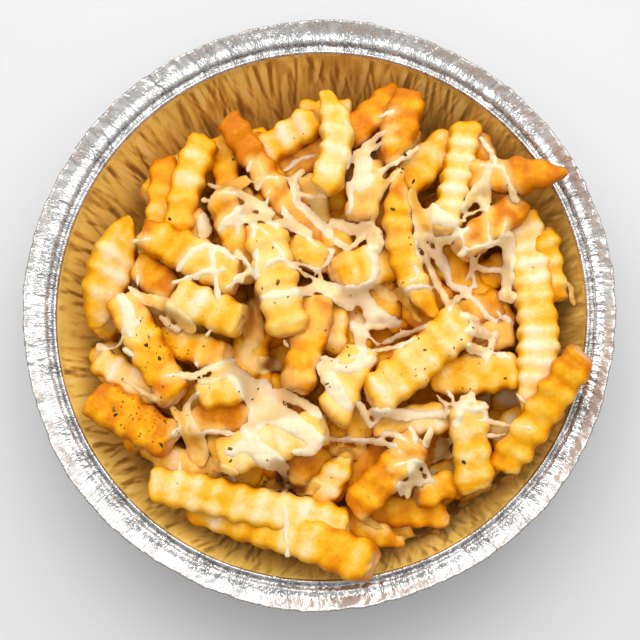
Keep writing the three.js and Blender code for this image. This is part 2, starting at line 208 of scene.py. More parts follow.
# The food's colours as the eye reads them, with their places in the ramps from pale to deep
FRIED_COLOURS = [
    (0.0, (238, 218, 200)), (0.21, (237, 211, 180)), (0.36, (235, 196, 126)), (0.52, (231, 174, 52)),
    (0.68, (229, 159, 8)), (0.82, (219, 137, 0)), (1.0, (200, 112, 0)),
]
CHEESE_COLOURS = [
    (0.0, (243, 213, 175)), (0.35, (239, 200, 141)), (0.7, (234, 180, 92)), (1.0, (216, 150, 52)),
]
HERB_COLOURS = [(0.0, (96, 104, 30)), (0.5, (70, 70, 24)), (1.0, (46, 36, 16))]
BARE_POTATO = (232, 206, 158)
CHEESE_FILM = (236, 200, 116)

# The herbs: the larger flecks, then patches of fine ones as (place, spread, count)
LARGE_HERBS = [
    (31.5, -12), (-53, -10), (-49, -14), (-63, -29.5), (-62.5, -31), (-48.5, -40), (-27, -41.5), (-27, -45),
    (-47, 30), (-28, 50), (26, 48.5), (28.5, 41), (22, 31), (2, -22), (43, -45.5), (69, -22.5), (56, -20),
    (25, 45),
]
LOOSE_HERBS = 90
HERB_PATCHES = [((-56, -32), (8, 5), 60), ((-50, -12), (4, 8), 34), ((35, -14), (12, 6), 20)]
HERB_REACH = 70.0
HERB_SIDES = 5
HERB_LIFT = 0.08
HERB_ABOVE = 0.1
HERB_BELOW = 0.12

# The camera, from how the pan's rims lie in the 640 by 640 photograph
IMAGE_SIDE = 640
FOCAL_PIXELS = 1852.0
SENSOR_WIDTH = 36.0
AIM_AT = (-0.46, -1.54, 44.0)
CAMERA_DISTANCE = 570.0
CAMERA_AZIMUTH = 16.7
CAMERA_ELEVATION = 83.35

# The tabletop and the lights' aim, in metres
TABLETOP_HALF = 3.0
TABLETOP_DROP = 0.0002
TABLETOP_COLOUR = (203, 203, 204)
LIGHTS_AIM = (0.0, 0.0, 0.03)

# How pale the room is, and how that leans over its directions
ROOM_LEVEL = 0.42
ROOM_LEAN = (0.1, 0.3, 0.1)


def fry(start, end, wide, tone, bow=0.0, thick=THICK, roll=0.0, tips="", pitch=6.6, cheesy=0.0):
    """One fry from start to end: tone runs from 0, pale, to 1, deep orange."""
    return {
        "start": start, "end": end, "wide": wide, "tone": tone, "bow": bow, "thick": thick,
        "roll": roll, "tips": tips, "pitch": pitch, "cheesy": cheesy, "z0": 0.0, "z1": 0.0,
        "length": math.dist(start, end),
    }


# The same fries as the part has, in the same order, each lying on those before it
LOW = [
    fry((69, 26), (72.5, 5), 8, 0.35),
    fry((-11, -48), (18, -40), 10, 0.6),
    fry((-32, -51), (-14, -53), 9, 0.5),
    fry((-55, 5), (-38, -6), 7, 0.2, bow=2, cheesy=0.6),
    fry((14, -60), (38, -61), 8.6, 0.55),
    fry((-32, 58), (-30, 40), 8, 0.35),
    fry((-21, 61), (-18, 50), 6.5, 0.3),
    fry((-14, 47), (4, 55), 8, 0.65, cheesy=0.3),
    fry((6, 45), (3, 24), 7.5, 0.4, bow=-1),
    fry((-4, 45), (0, 22), 9, 0.2, cheesy=0.7),
    fry((-27, 39), (-17, 23), 9, 0.2, cheesy=0.6),
    fry((48.5, 56.5), (51, 43), 8, 0.6),
    fry((41, 8), (59, 17), 10, 0.6),
    fry((38, 0), (57, 5), 9, 0.6),
    fry((38, -9), (59, -5), 9, 0.2, cheesy=0.7),
    fry((-50, 51), (-52, 24), 8.6, 0.45),
]

SECOND = [
    fry((-36, 56), (-45, 25), 9, 0.3, bow=-1.5),
    fry((-19, 52), (-1, 62), 9.4, 0.12),
    fry((-29.5, 62.5), (0, 18), 8.4, 0.85),
    fry((-57, 16), (-46, 7), 9.6, 0.55),
    fry((-51.5, -5), (-29, -14), 9.6, 0.45, tips="from"),
    fry((-70, -13), (-50, -25), 9, 0.05),
    fry((4, -62), (25, -70), 7.4, 0.55, tips="to"),
    fry((-40.5, -57), (15.5, -75.5), 12.2, 0.3, pitch=7.2),
    fry((-52, -43.5), (-17, -49.5), 8.6, 0.12),
    fry((-33, -35), (-28, -48), 8, 0.35),
    fry((-40, -32), (-21, -31), 8.8, 0.75),
    fry((16, 48), (11, 29), 8.8, 0.75, cheesy=0.6),
    fry((24, 71), (8, 56), 9, 0.55),
    fry((41, 55.5), (25, 40), 10.8, 0.15),
    fry((44, 42), (74.5, 42.5), 9.4, 0.8, tips="to"),
    fry((29, -55.5), (40.5, -50), 8.4, 0.35),
    fry((8.5, -43), (-2, -58), 8.6, 0.2, tips="from"),
    fry((3, -26), (15, -37), 9.6, 0.45),
    fry((16, -34), (40, -31), 8.8, 0.1),
    fry((8, 4), (28, -1), 9, 0.35),
    fry((9, 4), (12, -12), 7.8, 0.2),
    fry((4.3, 4), (3.4, -12), 8, 0.12),
    fry((-11, 20.5), (3, 17), 9.2, 0.35),
    fry((4, 11.5), (22, 16.5), 11, 0.2),
]

UPPER = [
    fry((27.4, 69), (21, 46), 10, 0.7, tips="to"),
    fry((45.4, 59.3), (37, 24), 8.8, 0.15, pitch=5.3),
    fry((78.5, -13.5), (54.5, -47.5), 10, 0.4, pitch=7.0),
    fry((33, -19), (60.5, -17.5), 11, 0.3),
    fry((61, 31.5), (63, -32), 11.4, 0.05, bow=4, tips="to", pitch=5.2),
    fry((61.5, 34.5), (42.5, 19), 9.2, 0.8),
    fry((-31, 37), (-22, 11), 8.6, 0.65),
    fry((-54, 25.5), (-25.5, 9.5), 11, 0.5),
    fry((-59.5, 30), (-70, -4), 12.6, 0.12, bow=-1, thick=7.5, roll=-28, tips="both"),
    fry((-44.5, 5.5), (-24, -3), 11.4, 0.08),
    fry((-61, 5), (-44, -26), 10.8, 0.45),
    fry((-70, -25.5), (-45.5, -39), 12.6, 0.55),
    fry((-51.5, -51.5), (8, -65), 10.8, 0.12),
    fry((-30, -44), (1, -34.5), 11.4, 0.08, cheesy=0.3),
    fry((-37, -25), (-24, -23.5), 8.4, 0.15),
    fry((29.5, -38.5), (9.5, -59.5), 10, 0.6),
    fry((44.5, -27.5), (46.5, -54), 11, 0.2),
    fry((-1.5, 5), (-7, -24), 10.4, 0.6),
    fry((12.5, -11), (3, -32), 11, 0.08, cheesy=0.4),
    fry((1, 70), (0, 38), 9.6, 0.0, bow=4.5, tips="from"),
    fry((25, 43), (35.5, -1.5), 8.4, 0.45, bow=-5.5, tips="both", pitch=5.8),
    fry((44.5, -2.5), (15, -27), 12.4, 0.18, pitch=6.0),
    fry((-17.5, 26.5), (-9.5, -7), 12, 0.15, cheesy=0.3),
]


def strip(path, wide, thick=0.5, tan=0.0):
    """One run of melted cheese along a path: its width, its thickness, and how tan and see-through it is."""
    return {"path": path, "wide": wide, "thick": thick, "tan": tan}


# Cheese over the upper left
UPPER_LEFT_CHEESE = [
    strip([(-35.5, 42), (-31.5, 39.5)], 1),
    strip([(-37, 36), (-34, 34)], 1.6),
    strip([(-31.5, 37), (-27, 40), (-24, 42)], 4.2, tan=0.6),
    strip([(-30.5, 36.5), (-21.5, 36.5)], 1.8),
    strip([(-37, 31), (-36, 24)], 4),
    strip([(-30.5, 26.5), (-25.5, 31), (-21, 34)], 2.8),
    strip([(-25, 37), (-18.5, 34), (-15.5, 31)], 2.8),
    strip([(-30, 26), (-25, 29), (-17.5, 29.5)], 2.4),
    strip([(-25, 29), (-25.5, 24)], 2.2),
    strip([(-21, 30), (-20, 22)], 2.2),
    strip([(-19.5, 48), (-18, 43.5), (-20, 41.5)], 2.4, tan=0.5),
    strip([(-22, 48), (-22.5, 45.5)], 1.6),
    strip([(-20, 39.5), (-18, 42.5), (-14, 43.5), (-12.5, 41)], 1.2),
    strip([(-16, 39.5), (-17, 35.5)], 1.4),
    strip([(-12.5, 35), (-11, 31.5), (-7.5, 27.5)], 1.8),
    strip([(-11.5, 47), (-7.5, 50.5), (-2, 51.5)], 1.6),
    strip([(-6, 46), (-8.5, 43.5), (-8.5, 37), (-7.5, 34)], 2.4),
    strip([(-11.5, 43), (-8, 43)], 0.8),
    strip([(-8, 38.5), (-3, 37), (2, 35)], 1.4),
    strip([(-7.5, 35), (-3.5, 31.5), (0.5, 27.5), (2, 24.5)], 3),
    strip([(-12.5, 27.5), (-9, 27), (-4.5, 25.5)], 3.6),
    strip([(-17, 28.5), (-12.5, 24.5)], 1.6),
]

# Cheese over the left fries
LEFT_CHEESE = [
    strip([(-35, 20.5), (-39, 18.5), (-43, 13)], 2.6),
    strip([(-34.5, 20), (-30, 18.5), (-26.5, 16)], 1.6),
    strip([(-33.5, 18.5), (-32, 13), (-31, 4)], 2.2),
    strip([(-40, 10.5), (-35, 12), (-29, 12.5)], 2.4),
    strip([(-57, 22.5), (-51.5, 22.5)], 1.2),
    strip([(-45, 9), (-40.5, 10.5)], 1),
    strip([(-57, 16), (-56.5, 9)], 1.2),
    strip([(-26, 9.5), (-21.5, 12)], 1.6),
    strip([(-21.5, 12.5), (-25, 9.5), (-29, 6.5)], 1),
    strip([(-31, 20), (-25, 14.5)], 1.2),
    strip([(-25.5, 18.5), (-21.5, 14)], 1.2),
    strip([(-54.5, 5), (-45.5, 2), (-39.5, -4.5)], 4, tan=0.4),
    strip([(-49, -1), (-44, -5)], 1.8),
    strip([(-55, 4.5), (-58.5, 8)], 1.2),
    strip([(-61, 4.5), (-58.5, 0.5), (-58, -6)], 4.6),
    strip([(-54, 0), (-58, -6.5)], 1.6),
    strip([(-69.5, -10), (-61, -10), (-60, -4.5)], 1),
    strip([(-69.5, -9.5), (-67.5, -9.5)], 2),
    strip([(-60, -11), (-57, -13)], 1.6),
    strip([(-34.5, -7), (-32.5, -5.5)], 1),
    strip([(-37.5, -12), (-38, -15.5)], 1.2),
    strip([(-61.5, -19.5), (-56.5, -22.5), (-50, -26.5)], 1.8, tan=0.4),
    strip([(-47.5, -19.5), (-42.5, -19), (-38.5, -19.5)], 1.6),
]

# Cheese over the lower left
LOWER_LEFT_CHEESE = [
    strip([(-36, -21.5), (-32.5, -21), (-30.5, -18.5), (-28, -15)], 3, tan=0.3),
    strip([(-37.5, -18.5), (-33.5, -16.5), (-27, -14)], 1.6),
    strip([(-41.5, -29.5), (-40, -26.5), (-36, -24)], 1.8),
    strip([(-45.5, -29), (-42.5, -33), (-40.5, -38.5), (-39, -44)], 2.4, tan=0.5),
    strip([(-41.5, -29.5), (-38, -36), (-36, -42.5)], 2.4, tan=0.3),
    strip([(-39, -37), (-38, -44.5)], 5.6, tan=0.7),
    strip([(-37, -37), (-34.5, -35.5), (-31, -36), (-26, -37)], 1.4),
    strip([(-37, -37), (-36.5, -42.5)], 1.8),
    strip([(-45, -37), (-43, -35)], 2.2),
    strip([(-43, -45), (-43, -47.5)], 1),
    strip([(-34.5, -47), (-28.5, -47), (-25.5, -48.5)], 2.4, tan=0.6),
]

# The white sheets in the middle left
SHEETS = [
    strip([(-27, -18), (-21.5, -23.5), (-16, -29), (-9.5, -33.5), (-1.5, -38.5)], 6.8),
    strip([(-18, -21.5), (-19.5, -35.5)], 5.6),
    strip([(-22.5, -36), (-18, -43.5), (-12, -45.5)], 5.6),
    strip([(-14, -24), (-5, -27.5), (-0.5, -32)], 2.8),
    strip([(-6.5, -35), (-0.5, -38.5), (-3, -42.5), (-8.5, -42.5)], 2.8),
    strip([(-28, -42.5), (-21.5, -40.5)], 3.6),
    strip([(0.5, -17), (5, -24), (8, -29)], 4.8),
    strip([(11.5, -28), (15, -34.5), (17, -33)], 1.4),
]

# Cheese over the standing fry in the middle
MIDDLE_CHEESE = [
    strip([(-19, 18.5), (-19.5, 10)], 2.2),
    strip([(-18, 25.5), (-15.5, 22.5), (-11, 17)], 1.8),
    strip([(-18, 10.5), (-16, 14.5), (-11.5, 16), (-8.5, 13.5)], 2),
    strip([(-17.5, 4), (-12.5, 5), (-6, 5.5), (-1, 9)], 3),
    strip([(-1, 9), (4, 7), (9, 3)], 4.6),
    strip([(-8, 14.5), (-5.5, 12), (-2.5, 11.5), (-0.5, 9.5)], 1.2),
    strip([(-8, 14.5), (-3, 14.5), (0.5, 11.5)], 1),
    strip([(-8, 28.5), (-5, 26), (-3, 22), (-0.5, 20.5), (3.5, 19.5)], 1.6),
    strip([(3.5, 19.5), (2, 15), (-1.5, 13.5)], 1),
    strip([(2, 27), (4, 23), (8.5, 20)], 2.4),
    strip([(8.5, 20), (13, 24.5), (14.5, 26)], 1.6),
    strip([(6.5, 7), (11.5, 6.5), (14.5, 3), (16, -1.5)], 4.2),
    strip([(-11, -8.5), (-10, -10.5)], 1),
    strip([(9.5, -2.5), (12, -6), (13, -12), (11.5, -16)], 2.8),
    strip([(0, -14), (5, -15), (9.5, -14), (18, -11)], 1.2),
    strip([(2, -16.5), (9, -18), (15.5, -14)], 3.6),
]

# Cheese over the upper middle
UPPER_CHEESE = [
    strip([(12.5, 49.5), (13.5, 44.5), (12, 39.5)], 5.8),
    strip([(13.5, 38.5), (15.5, 41), (19, 44.5), (25.5, 47.5), (29.5, 50.5)], 1.6),
    strip([(17.5, 44), (17, 37), (16, 29.5)], 3, tan=0.7, thick=0.6),
    strip([(16.5, 25), (16.5, 20)], 4.6, thick=1.6),
    strip([(18, 36), (20.5, 40), (24, 43.5)], 1.6, tan=0.4),
    strip([(8.5, 40), (9.5, 33), (8.5, 31)], 1.8),
    strip([(13, 53), (17.5, 55), (22.5, 57)], 1.2),
    strip([(12, 50.5), (17, 52), (22.5, 53)], 1),
    strip([(18, 61), (22.5, 62.5)], 1.6),
    strip([(7, 59.5), (9, 56)], 2.4, tan=0.4),
    strip([(8, 44), (9, 48)], 1),
    strip([(3.5, 29.5), (9.5, 26), (15.5, 27.5)], 2.8),
    strip([(14, 19.5), (16, 16), (17, 11.5), (13, 7.5)], 2.8),
]

# Cheese over the upper right
UPPER_RIGHT_CHEESE = [
    strip([(49.5, 54.5), (52, 50.5), (53.5, 46)], 1.6),
    strip([(46, 45.5), (50.5, 45), (55, 44)], 1.6),
    strip([(51.5, 44), (49.5, 39.5), (46, 35.5), (43.5, 31.5)], 2.8, tan=0.2),
    strip([(55.5, 44), (57.5, 38.5), (59.5, 34)], 2.2, tan=0.2),
    strip([(50, 40.5), (51.5, 34.5)], 2.2, tan=0.3),
    strip([(48, 36), (50.5, 31.5)], 2.2),
    strip([(43.5, 29), (48, 31.5), (51, 32.5)], 1),
    strip([(39, 25.5), (44, 28)], 1),
    strip([(50.5, 31.5), (51, 25), (51.5, 20.5)], 1.2),
    strip([(27.5, 36.5), (29.5, 31), (32.5, 25.5)], 3.4, tan=0.6),
    strip([(34, 31), (36.5, 28), (40, 27)], 5.2),
    strip([(56.5, 27.5), (55, 22.5)], 1.8, tan=0.3),
]

# The web on the right
RIGHT_WEB = [
    strip([(28.5, 29.5), (30, 24.5), (31.5, 19.5), (33.5, 14), (35, 9.5), (38.5, 4.5), (39, -0.5)], 2),
    strip([(28.5, 23), (30.5, 15)], 1),
    strip([(26, 6.5), (28.5, 7.5), (33.5, 7.5)], 1.8),
    strip([(27, 9), (30, 10.5), (28.5, 14.5)], 1.2),
    strip([(32, 24), (35.5, 22), (40, 22.5), (44.5, 25)], 2.2),
    strip([(35.5, 21.5), (39, 14.5), (40, 10), (44, 9)], 2.2),
    strip([(32.5, 20.5), (35.5, 17), (38, 13.5)], 1.8),
    strip([(42, 25.5), (43, 22), (44, 19)], 1),
    strip([(42.5, 17.5), (45.5, 19), (51, 20.5), (57, 22)], 1.6),
    strip([(57.5, 24), (58, 16), (57, 9)], 3.6),
    strip([(46.5, 14.5), (51.5, 14.5), (57, 14)], 1.8),
    strip([(46, 18), (46.5, 14.5), (47.5, 9)], 1),
    strip([(48.5, 17.5), (46.5, 14.5)], 0.8),
    strip([(44.5, 11), (46.5, 14.5)], 1),
    strip([(39.5, 15), (39, 11), (42, 8), (46.5, 9)], 1),
    strip([(39, 0.5), (42, 5.5), (46, 8)], 1.6),
    strip([(44, 7), (48, 4), (51, 0), (54, -2)], 2.2),
    strip([(56, 6.5), (58.5, 5)], 3.4, thick=1.8),
    strip([(54, 1.5), (56, -0.5)], 1.6, thick=1.4),
    strip([(57, 0), (59, -1.5)], 2.2, thick=1.4),
    strip([(42.5, -1), (45, -1.5), (47.5, -2.5)], 2.4, thick=1.4),
    strip([(44.5, -6), (48, -5.5), (51.5, -6.5)], 3.6, thick=1.4),
    strip([(44.5, -10.5), (48, -11.5), (51, -11.5)], 2.8, thick=1.2),
    strip([(53.5, -5.5), (51.5, -11), (49.5, -17)], 1.8),
    strip([(54, -12.5), (58, -14)], 2.4),
    strip([(73, 11), (76.5, 9.5), (78, 4)], 1, tan=0.4),
]

# Across the dark gaps in the middle
GAP_STRANDS = [
    strip([(9.5, 7.5), (13.5, 5), (18, 0), (23, -2)], 3.6),
    strip([(17.5, -9), (23.5, -5.5), (32, -4.5)], 1.4),
    strip([(13.5, -5.5), (17.5, -9)], 1),
    strip([(12, -3.5), (19, -3.5), (24.5, -2)], 1.6),
    strip([(17.5, -11), (23.5, -11), (28.5, -8.5)], 1.2),
    strip([(11, -3.5), (12, -8), (12, -12)], 2.8),
    strip([(22.5, 7.5), (26, 3), (30.5, -2)], 1.6, tan=0.8),
    strip([(37, -22), (39.5, -25), (40.5, -27.5)], 1.2),
    strip([(35.5, -25), (38, -28)], 1),
    strip([(45.5, -25), (42.5, -28), (41, -35)], 3),
    strip([(41, -28), (46, -30), (49.5, -29)], 2.2),
    strip([(46.5, -33), (50.5, -33), (57.5, -34.5), (63, -35.5)], 1.4),
    strip([(50.5, -37.5), (55.5, -37)], 1),
    strip([(49, -28), (50, -32.5)], 1.2),
    strip([(46.5, -26), (46.5, -32)], 1.2),
    strip([(59, -24.5), (61.5, -27.5)], 1),
    strip([(16, -30.5), (22.5, -31), (30, -31.5), (38, -30.5)], 3, thick=0.6),
    strip([(27.5, -35), (28.5, -40)], 1.6),
    strip([(33.5, -34.5), (31.5, -40)], 2.2),
    strip([(1, -38), (7.5, -38.5), (14.5, -38.5), (19.5, -39.5), (23, -41)], 1.4),
    strip([(18.5, -37), (22.5, -37), (26.5, -39.5)], 1.8),
    strip([(22.5, -40), (24, -43)], 1.6),
    strip([(12, -28), (15, -34.5)], 1.4),
    strip([(33, -45.5), (36.5, -43.5), (39.5, -43.5)], 1, tan=0.4),
]

# The star and the drips at the bottom
LOWER_CHEESE = [
    strip([(21.5, -47), (27, -45), (31.5, -46), (33, -51)], 1.6),
    strip([(24, -52), (28.5, -51.5), (33, -51)], 1.8),
    strip([(27, -47), (29.5, -50)], 3.4),
    strip([(24, -52), (24, -55.5)], 1.6),
    strip([(27, -51.5), (26, -56)], 1.8),
    strip([(-14, -47), (-10, -47)], 1.4),
    strip([(-12.5, -47), (-11.5, -51), (-11.5, -55), (-10.5, -62)], 1.2),
    strip([(-11, -57.5), (-10.5, -62.5)], 2),
    strip([(-10.5, -63), (-10.5, -67.5), (-10, -73)], 1.6),
]

# Lying in the hollows
HOLLOW_CHEESE = [
    strip([(-21.5, 5), (-20.5, -1.5), (-21, -8)], 5.2, tan=0.8),
    strip([(-21, -8), (-25, -12.5), (-18, -15.5), (-14, -14)], 5.2, tan=0.6),
    strip([(18, 7.5), (21.5, 5)], 4, tan=0.6),
    strip([(37.5, -39), (36.5, -42.5)], 4, tan=0.5),
    strip([(-9.5, -50), (-6.5, -54), (-1, -52.5)], 3.6, tan=0.9),
    strip([(3.5, -41.5), (9, -43), (12.5, -41.5)], 3.6, tan=0.9),
    strip([(-13, -51.5), (-15, -54)], 2.4, tan=0.9),
]

# Grease on the foil
FOIL_GREASE = [
    strip([(43.5, -57), (50, -54), (55.5, -51), (59, -49.5)], 1.6, tan=0.7),
    strip([(38, -64), (41, -60), (45.5, -56.5)], 1.6, tan=0.7),
    strip([(24.5, -68), (29.5, -67.5), (35.5, -66.5)], 1.2, tan=0.6),
    strip([(12.5, -62.5), (15.5, -64.5), (19, -65.5)], 1.6, tan=0.9),
]

PULLED_CHEESE = (
    UPPER_LEFT_CHEESE + LEFT_CHEESE + LOWER_LEFT_CHEESE + SHEETS + MIDDLE_CHEESE + UPPER_CHEESE
    + UPPER_RIGHT_CHEESE + RIGHT_WEB + GAP_STRANDS + LOWER_CHEESE
)
LYING_CHEESE = HOLLOW_CHEESE + FOIL_GREASE


def smooth_step(value, low, high):
    """Zero below low, one above high, and an S-shaped rise between them."""
    share = np.clip((value - low) / (high - low), 0.0, 1.0)
    return share * share * (3.0 - 2.0 * share)


def turns(count):
    """Angles evenly round a full turn."""
    return np.linspace(0.0, math.tau, count, endpoint=False)


def pan_top(radius):
    """Height of the empty pan's upper surface: flat base, quadratic corner, straight wall, rising flange."""
    outward = np.maximum(0.0, radius - MOUTH_RADIUS - LEDGE_WIDTH - BAND_WIDTH + 1.0)
    rim = MOUTH_HEIGHT + outward * (FLANGE_RISE / FLANGE_REACH)
    foot = BASE_RADIUS - CORNER_HEIGHT * 0.28
    climb = MOUTH_HEIGHT * (radius - foot) / (MOUTH_RADIUS - foot)
    corner = CORNER_HEIGHT * (radius - BASE_FLAT_RADIUS) ** 2 / (BASE_RADIUS - BASE_FLAT_RADIUS) ** 2
    inside = np.maximum(FOIL + np.minimum(corner, CORNER_HEIGHT), climb)
    inside = np.where(radius < BASE_FLAT_RADIUS, FOIL, inside)
    height = np.where(radius > MOUTH_RADIUS - 1.0, rim, inside)
    beyond = MOUTH_RADIUS + LEDGE_WIDTH + BAND_WIDTH + FLANGE_REACH + 2.0
    return np.where(radius > beyond, 0.0, height)


def pan_support(x, y):
    """Height that the pan asks of a thing lying in it, a gap off the wall and over the rim."""
    radius = np.hypot(x, y) + WALL_GAP
    rim = np.where(radius > MOUTH_RADIUS - 1.0, RIM_CLEARANCE, 0.0)
    return pan_top(radius) + PAN_CLEARANCE + rim


def core_top(radius):
    """Height of the hidden core: a dome falling with the fourth power of the radius."""
    return CORE_EDGE + (CORE_TOP - CORE_EDGE) * (1.0 - (radius / CORE_RADIUS) ** 4)


def crown_at(x, y):
    """Height of the rounded surface that the topmost fries reach."""
    return CROWN_TOP - CROWN_FALL * (np.hypot(x, y) / MOUTH_RADIUS) ** 2


def map_cell(x, y):
    """Row and column of the map cell nearest to a place."""
    column = np.floor(x + MAP_HALF + 0.5).astype(int)
    row = np.floor(y + MAP_HALF + 0.5).astype(int)
    return row, column


def is_pointed(one, end):
    """Whether the fry's end, "from" or "to", comes to a point."""
    return one["tips"] in (end, "both")


def fullness(one, t):
    """Share of the full section at t: a sine rise over the taper at a pointed tip, else nearly full."""
    run = one["length"]
    taper = min(TAPER_LENGTH, run * 0.45)

    def near(distance, end):
        if is_pointed(one, end):
            return TIP + (1.0 - TIP) * np.sin(np.minimum(distance / taper, 1.0) * math.pi / 2)
        return BLUNT_END + (1.0 - BLUNT_END) * np.minimum(distance / BLUNT_LENGTH, 1.0)

    return np.minimum(near(t * run, "from"), near((1.0 - t) * run, "to"))


def middle_of(one, t):
    """Middle line of a fry: its straight run, bent sideways by a parabola."""
    start, end = np.array(one["start"], float), np.array(one["end"], float)
    direction = (end - start) / one["length"]
    bend = one["bow"] * 4.0 * t * (1.0 - t)
    x = start[0] + (end[0] - start[0]) * t - direction[1] * bend
    y = start[1] + (end[1] - start[1]) * t + direction[0] * bend
    z = one["z0"] + (one["z1"] - one["z0"]) * t
    return np.stack([x, y, z], axis=-1)


def directions_of(one):
    """The directions across and over a fry, from its heading, lean and roll."""
    start, end = np.array(one["start"], float), np.array(one["end"], float)
    dx, dy = (end - start) / one["length"]
    lean = math.atan2(one["z1"] - one["z0"], one["length"])
    roll = math.radians(one["roll"])
    level = np.array([-dy, dx, 0.0])
    upright = np.array([-math.sin(lean) * dx, -math.sin(lean) * dy, math.cos(lean)])
    side = level * math.cos(roll) + upright * math.sin(roll)
    over = upright * math.cos(roll) - level * math.sin(roll)
    return side, over


def point_of(one, t, across, over, swell=0.0):
    """Corner points of a fry: across and over run from -1 to 1 through its width and thickness."""
    side, up = directions_of(one)
    full = fullness(one, t)
    a = (across * (one["wide"] / 2 + swell) * full)[..., None]
    o = (over * (one["thick"] / 2 + swell) * full)[..., None]
    return middle_of(one, t) + side * a + up * o


def rooms_for(one, t, undersides):
    """At each t: the height left under fries and crown, and the height that the pan asks for."""
    base = one["z0"] + (one["z1"] - one["z0"]) * t
    grid_t = np.repeat(t[:, None], len(ACROSS), axis=1)
    top = point_of(one, grid_t, ACROSS * BEARING * np.ones_like(grid_t), 1.0)
    row, column = map_cell(top[..., 0], top[..., 1])
    roof = np.minimum(undersides[row, column] + SINK, crown_at(top[..., 0], top[..., 1]) - one["depth"])
    under = (roof + base[:, None] - top[..., 2]).min(axis=1)
    low = point_of(one, grid_t, ACROSS * np.ones_like(grid_t), -1.0, RIDGE)
    on_pan = (pan_support(low[..., 0], low[..., 1]) + base[:, None] - low[..., 2]).max(axis=1)
    return under, np.maximum(on_pan, 0.0)


def settle(one, undersides):
    """Gives a fry the lean and height that follow the room left for it most closely."""
    steps = 2 * math.ceil(one["length"] / 3)
    t = np.arange(steps + 1) / steps
    rises = STEEPEST * one["length"] * np.linspace(-1.0, 1.0, LEAN_TRIES + 1)
    above = rises[:, None] * (t - 0.5)
    for _ in range(LAY_ROUNDS):
        under, on_pan = rooms_for(one, t, undersides)
        mean = (under - above).mean(axis=1)
        least = (under - above).min(axis=1)
        pan = np.maximum((on_pan - above).max(axis=1), 0.0)
        middle = np.maximum(np.minimum(mean - (mean - least) * YIELD, least + GIVE), pan)
        misfit = np.abs(np.maximum(under, on_pan) - (middle[:, None] + above)).mean(axis=1)
        best = int(np.argmin(misfit + np.abs(rises) * LEAN_COST))
        one["z0"] = middle[best] - rises[best] / 2
        one["z1"] = middle[best] + rises[best] / 2


def mark_underside(one, undersides):
    """Lowers the map of undersides where this fry lies."""
    t = np.linspace(0.0, 1.0, math.ceil(one["length"] / MAP_STEP) + 1)
    across = np.linspace(-1.0, 1.0, math.ceil(one["wide"] / MAP_STEP) + 1)
    grid_t, grid_across = np.meshgrid(t, across, indexing="ij")
    low = point_of(one, grid_t, grid_across, -1.0)
    row, column = map_cell(low[..., 0], low[..., 1])
    np.minimum.at(undersides, (row, column), low[..., 2])


def lay_fries():
    """Lays the fries from the top down, each tucked under those listed after it."""
    undersides = np.full((MAP_SIDE, MAP_SIDE), np.inf)
    for depth, layer in (("upper", UPPER), ("second", SECOND), ("low", LOW)):
        for one in reversed(layer):
            one["depth"] = LAYER_DEPTHS[depth]
            settle(one, undersides)
            mark_underside(one, undersides)
    return undersides


def wobble(rng, u, v, count, low, high):
    """Smooth noise: the mean of sines with random directions, wavelengths from low to high, and phases."""
    total = np.zeros(np.broadcast(u, v).shape)
    for _ in range(count):
        turn = rng.uniform(0, math.tau)
        wave = math.tau / rng.uniform(low, high)
        total = total + np.sin(wave * (u * math.cos(turn) + v * math.sin(turn)) + rng.uniform(0, math.tau))
    return total / math.sqrt(count)


def joined(parts):
    """Joins (points, faces, values) parts: points end on end, faces shifted, values end on end by name."""
    shift = 0
    points, faces = [], []
    values = {}
    for part_points, part_faces, part_values in parts:
        points.append(part_points)
        faces.extend(face + shift for face in part_faces)
        for name, value in part_values.items():
            values.setdefault(name, []).append(value)
        shift += len(part_points)
    return np.concatenate(points), faces, {name: np.concatenate(value) for name, value in values.items()}


def make_mesh(name, points, faces, values, material, slot, border=None):
    """A smooth mesh object from points in millimetres, arrays of faces and values at the points.

    Edges between two points of the border, where it is given, are sharp.
    """
    mesh = bpy.data.meshes.new(name)
    mesh.vertices.add(len(points))
    mesh.vertices.foreach_set("co", (np.asarray(points, float) * MM).ravel())
    corners = np.concatenate([face.ravel() for face in faces])
    sizes = np.concatenate([np.full(len(face), face.shape[1]) for face in faces])
    starts = np.concatenate([[0], np.cumsum(sizes)[:-1]])
    mesh.loops.add(len(corners))
    mesh.loops.foreach_set("vertex_index", corners.astype(np.int32))
    mesh.polygons.add(len(sizes))
    mesh.polygons.foreach_set("loop_start", starts.astype(np.int32))
    mesh.polygons.foreach_set("use_smooth", np.ones(len(sizes), bool))
    mesh.update(calc_edges=True)
    mesh.validate()
    if border is not None:
        ends = np.zeros(2 * len(mesh.edges), np.int32)
        mesh.edges.foreach_get("vertices", ends)
        sharp = mesh.attributes.new("sharp_edge", "BOOLEAN", "EDGE")
        sharp.data.foreach_set("value", border[ends].reshape(-1, 2).all(axis=1))
    for key, value in values.items():
        layer = mesh.attributes.new(key, "FLOAT", "POINT")
        layer.data.foreach_set("value", np.asarray(value, np.float32))
    piece = bpy.data.objects.new(name, mesh)
    bpy.context.collection.objects.link(piece)
    piece.data.materials.append(material)
    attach(piece, "root")
    return piece


def ring_faces(rings, around):
    """Quads between neighbouring rings of a closed tube, facing outwards."""
    i, j = np.meshgrid(np.arange(rings - 1), np.arange(around), indexing="ij")
    a = i * around + j
    b = i * around + (j + 1) % around
    return np.stack([a, b, b + around, a + around], axis=-1).reshape(-1, 4)


def fan_faces(ring_start, around, pole, outward):
    """Triangles from the ring that starts at ring_start to a pole point."""
    j = np.arange(around)
    a = ring_start + j
    b = ring_start + (j + 1) % around
    middle = np.full(around, pole)
    return np.stack([b, a, middle] if outward else [a, b, middle], axis=-1)


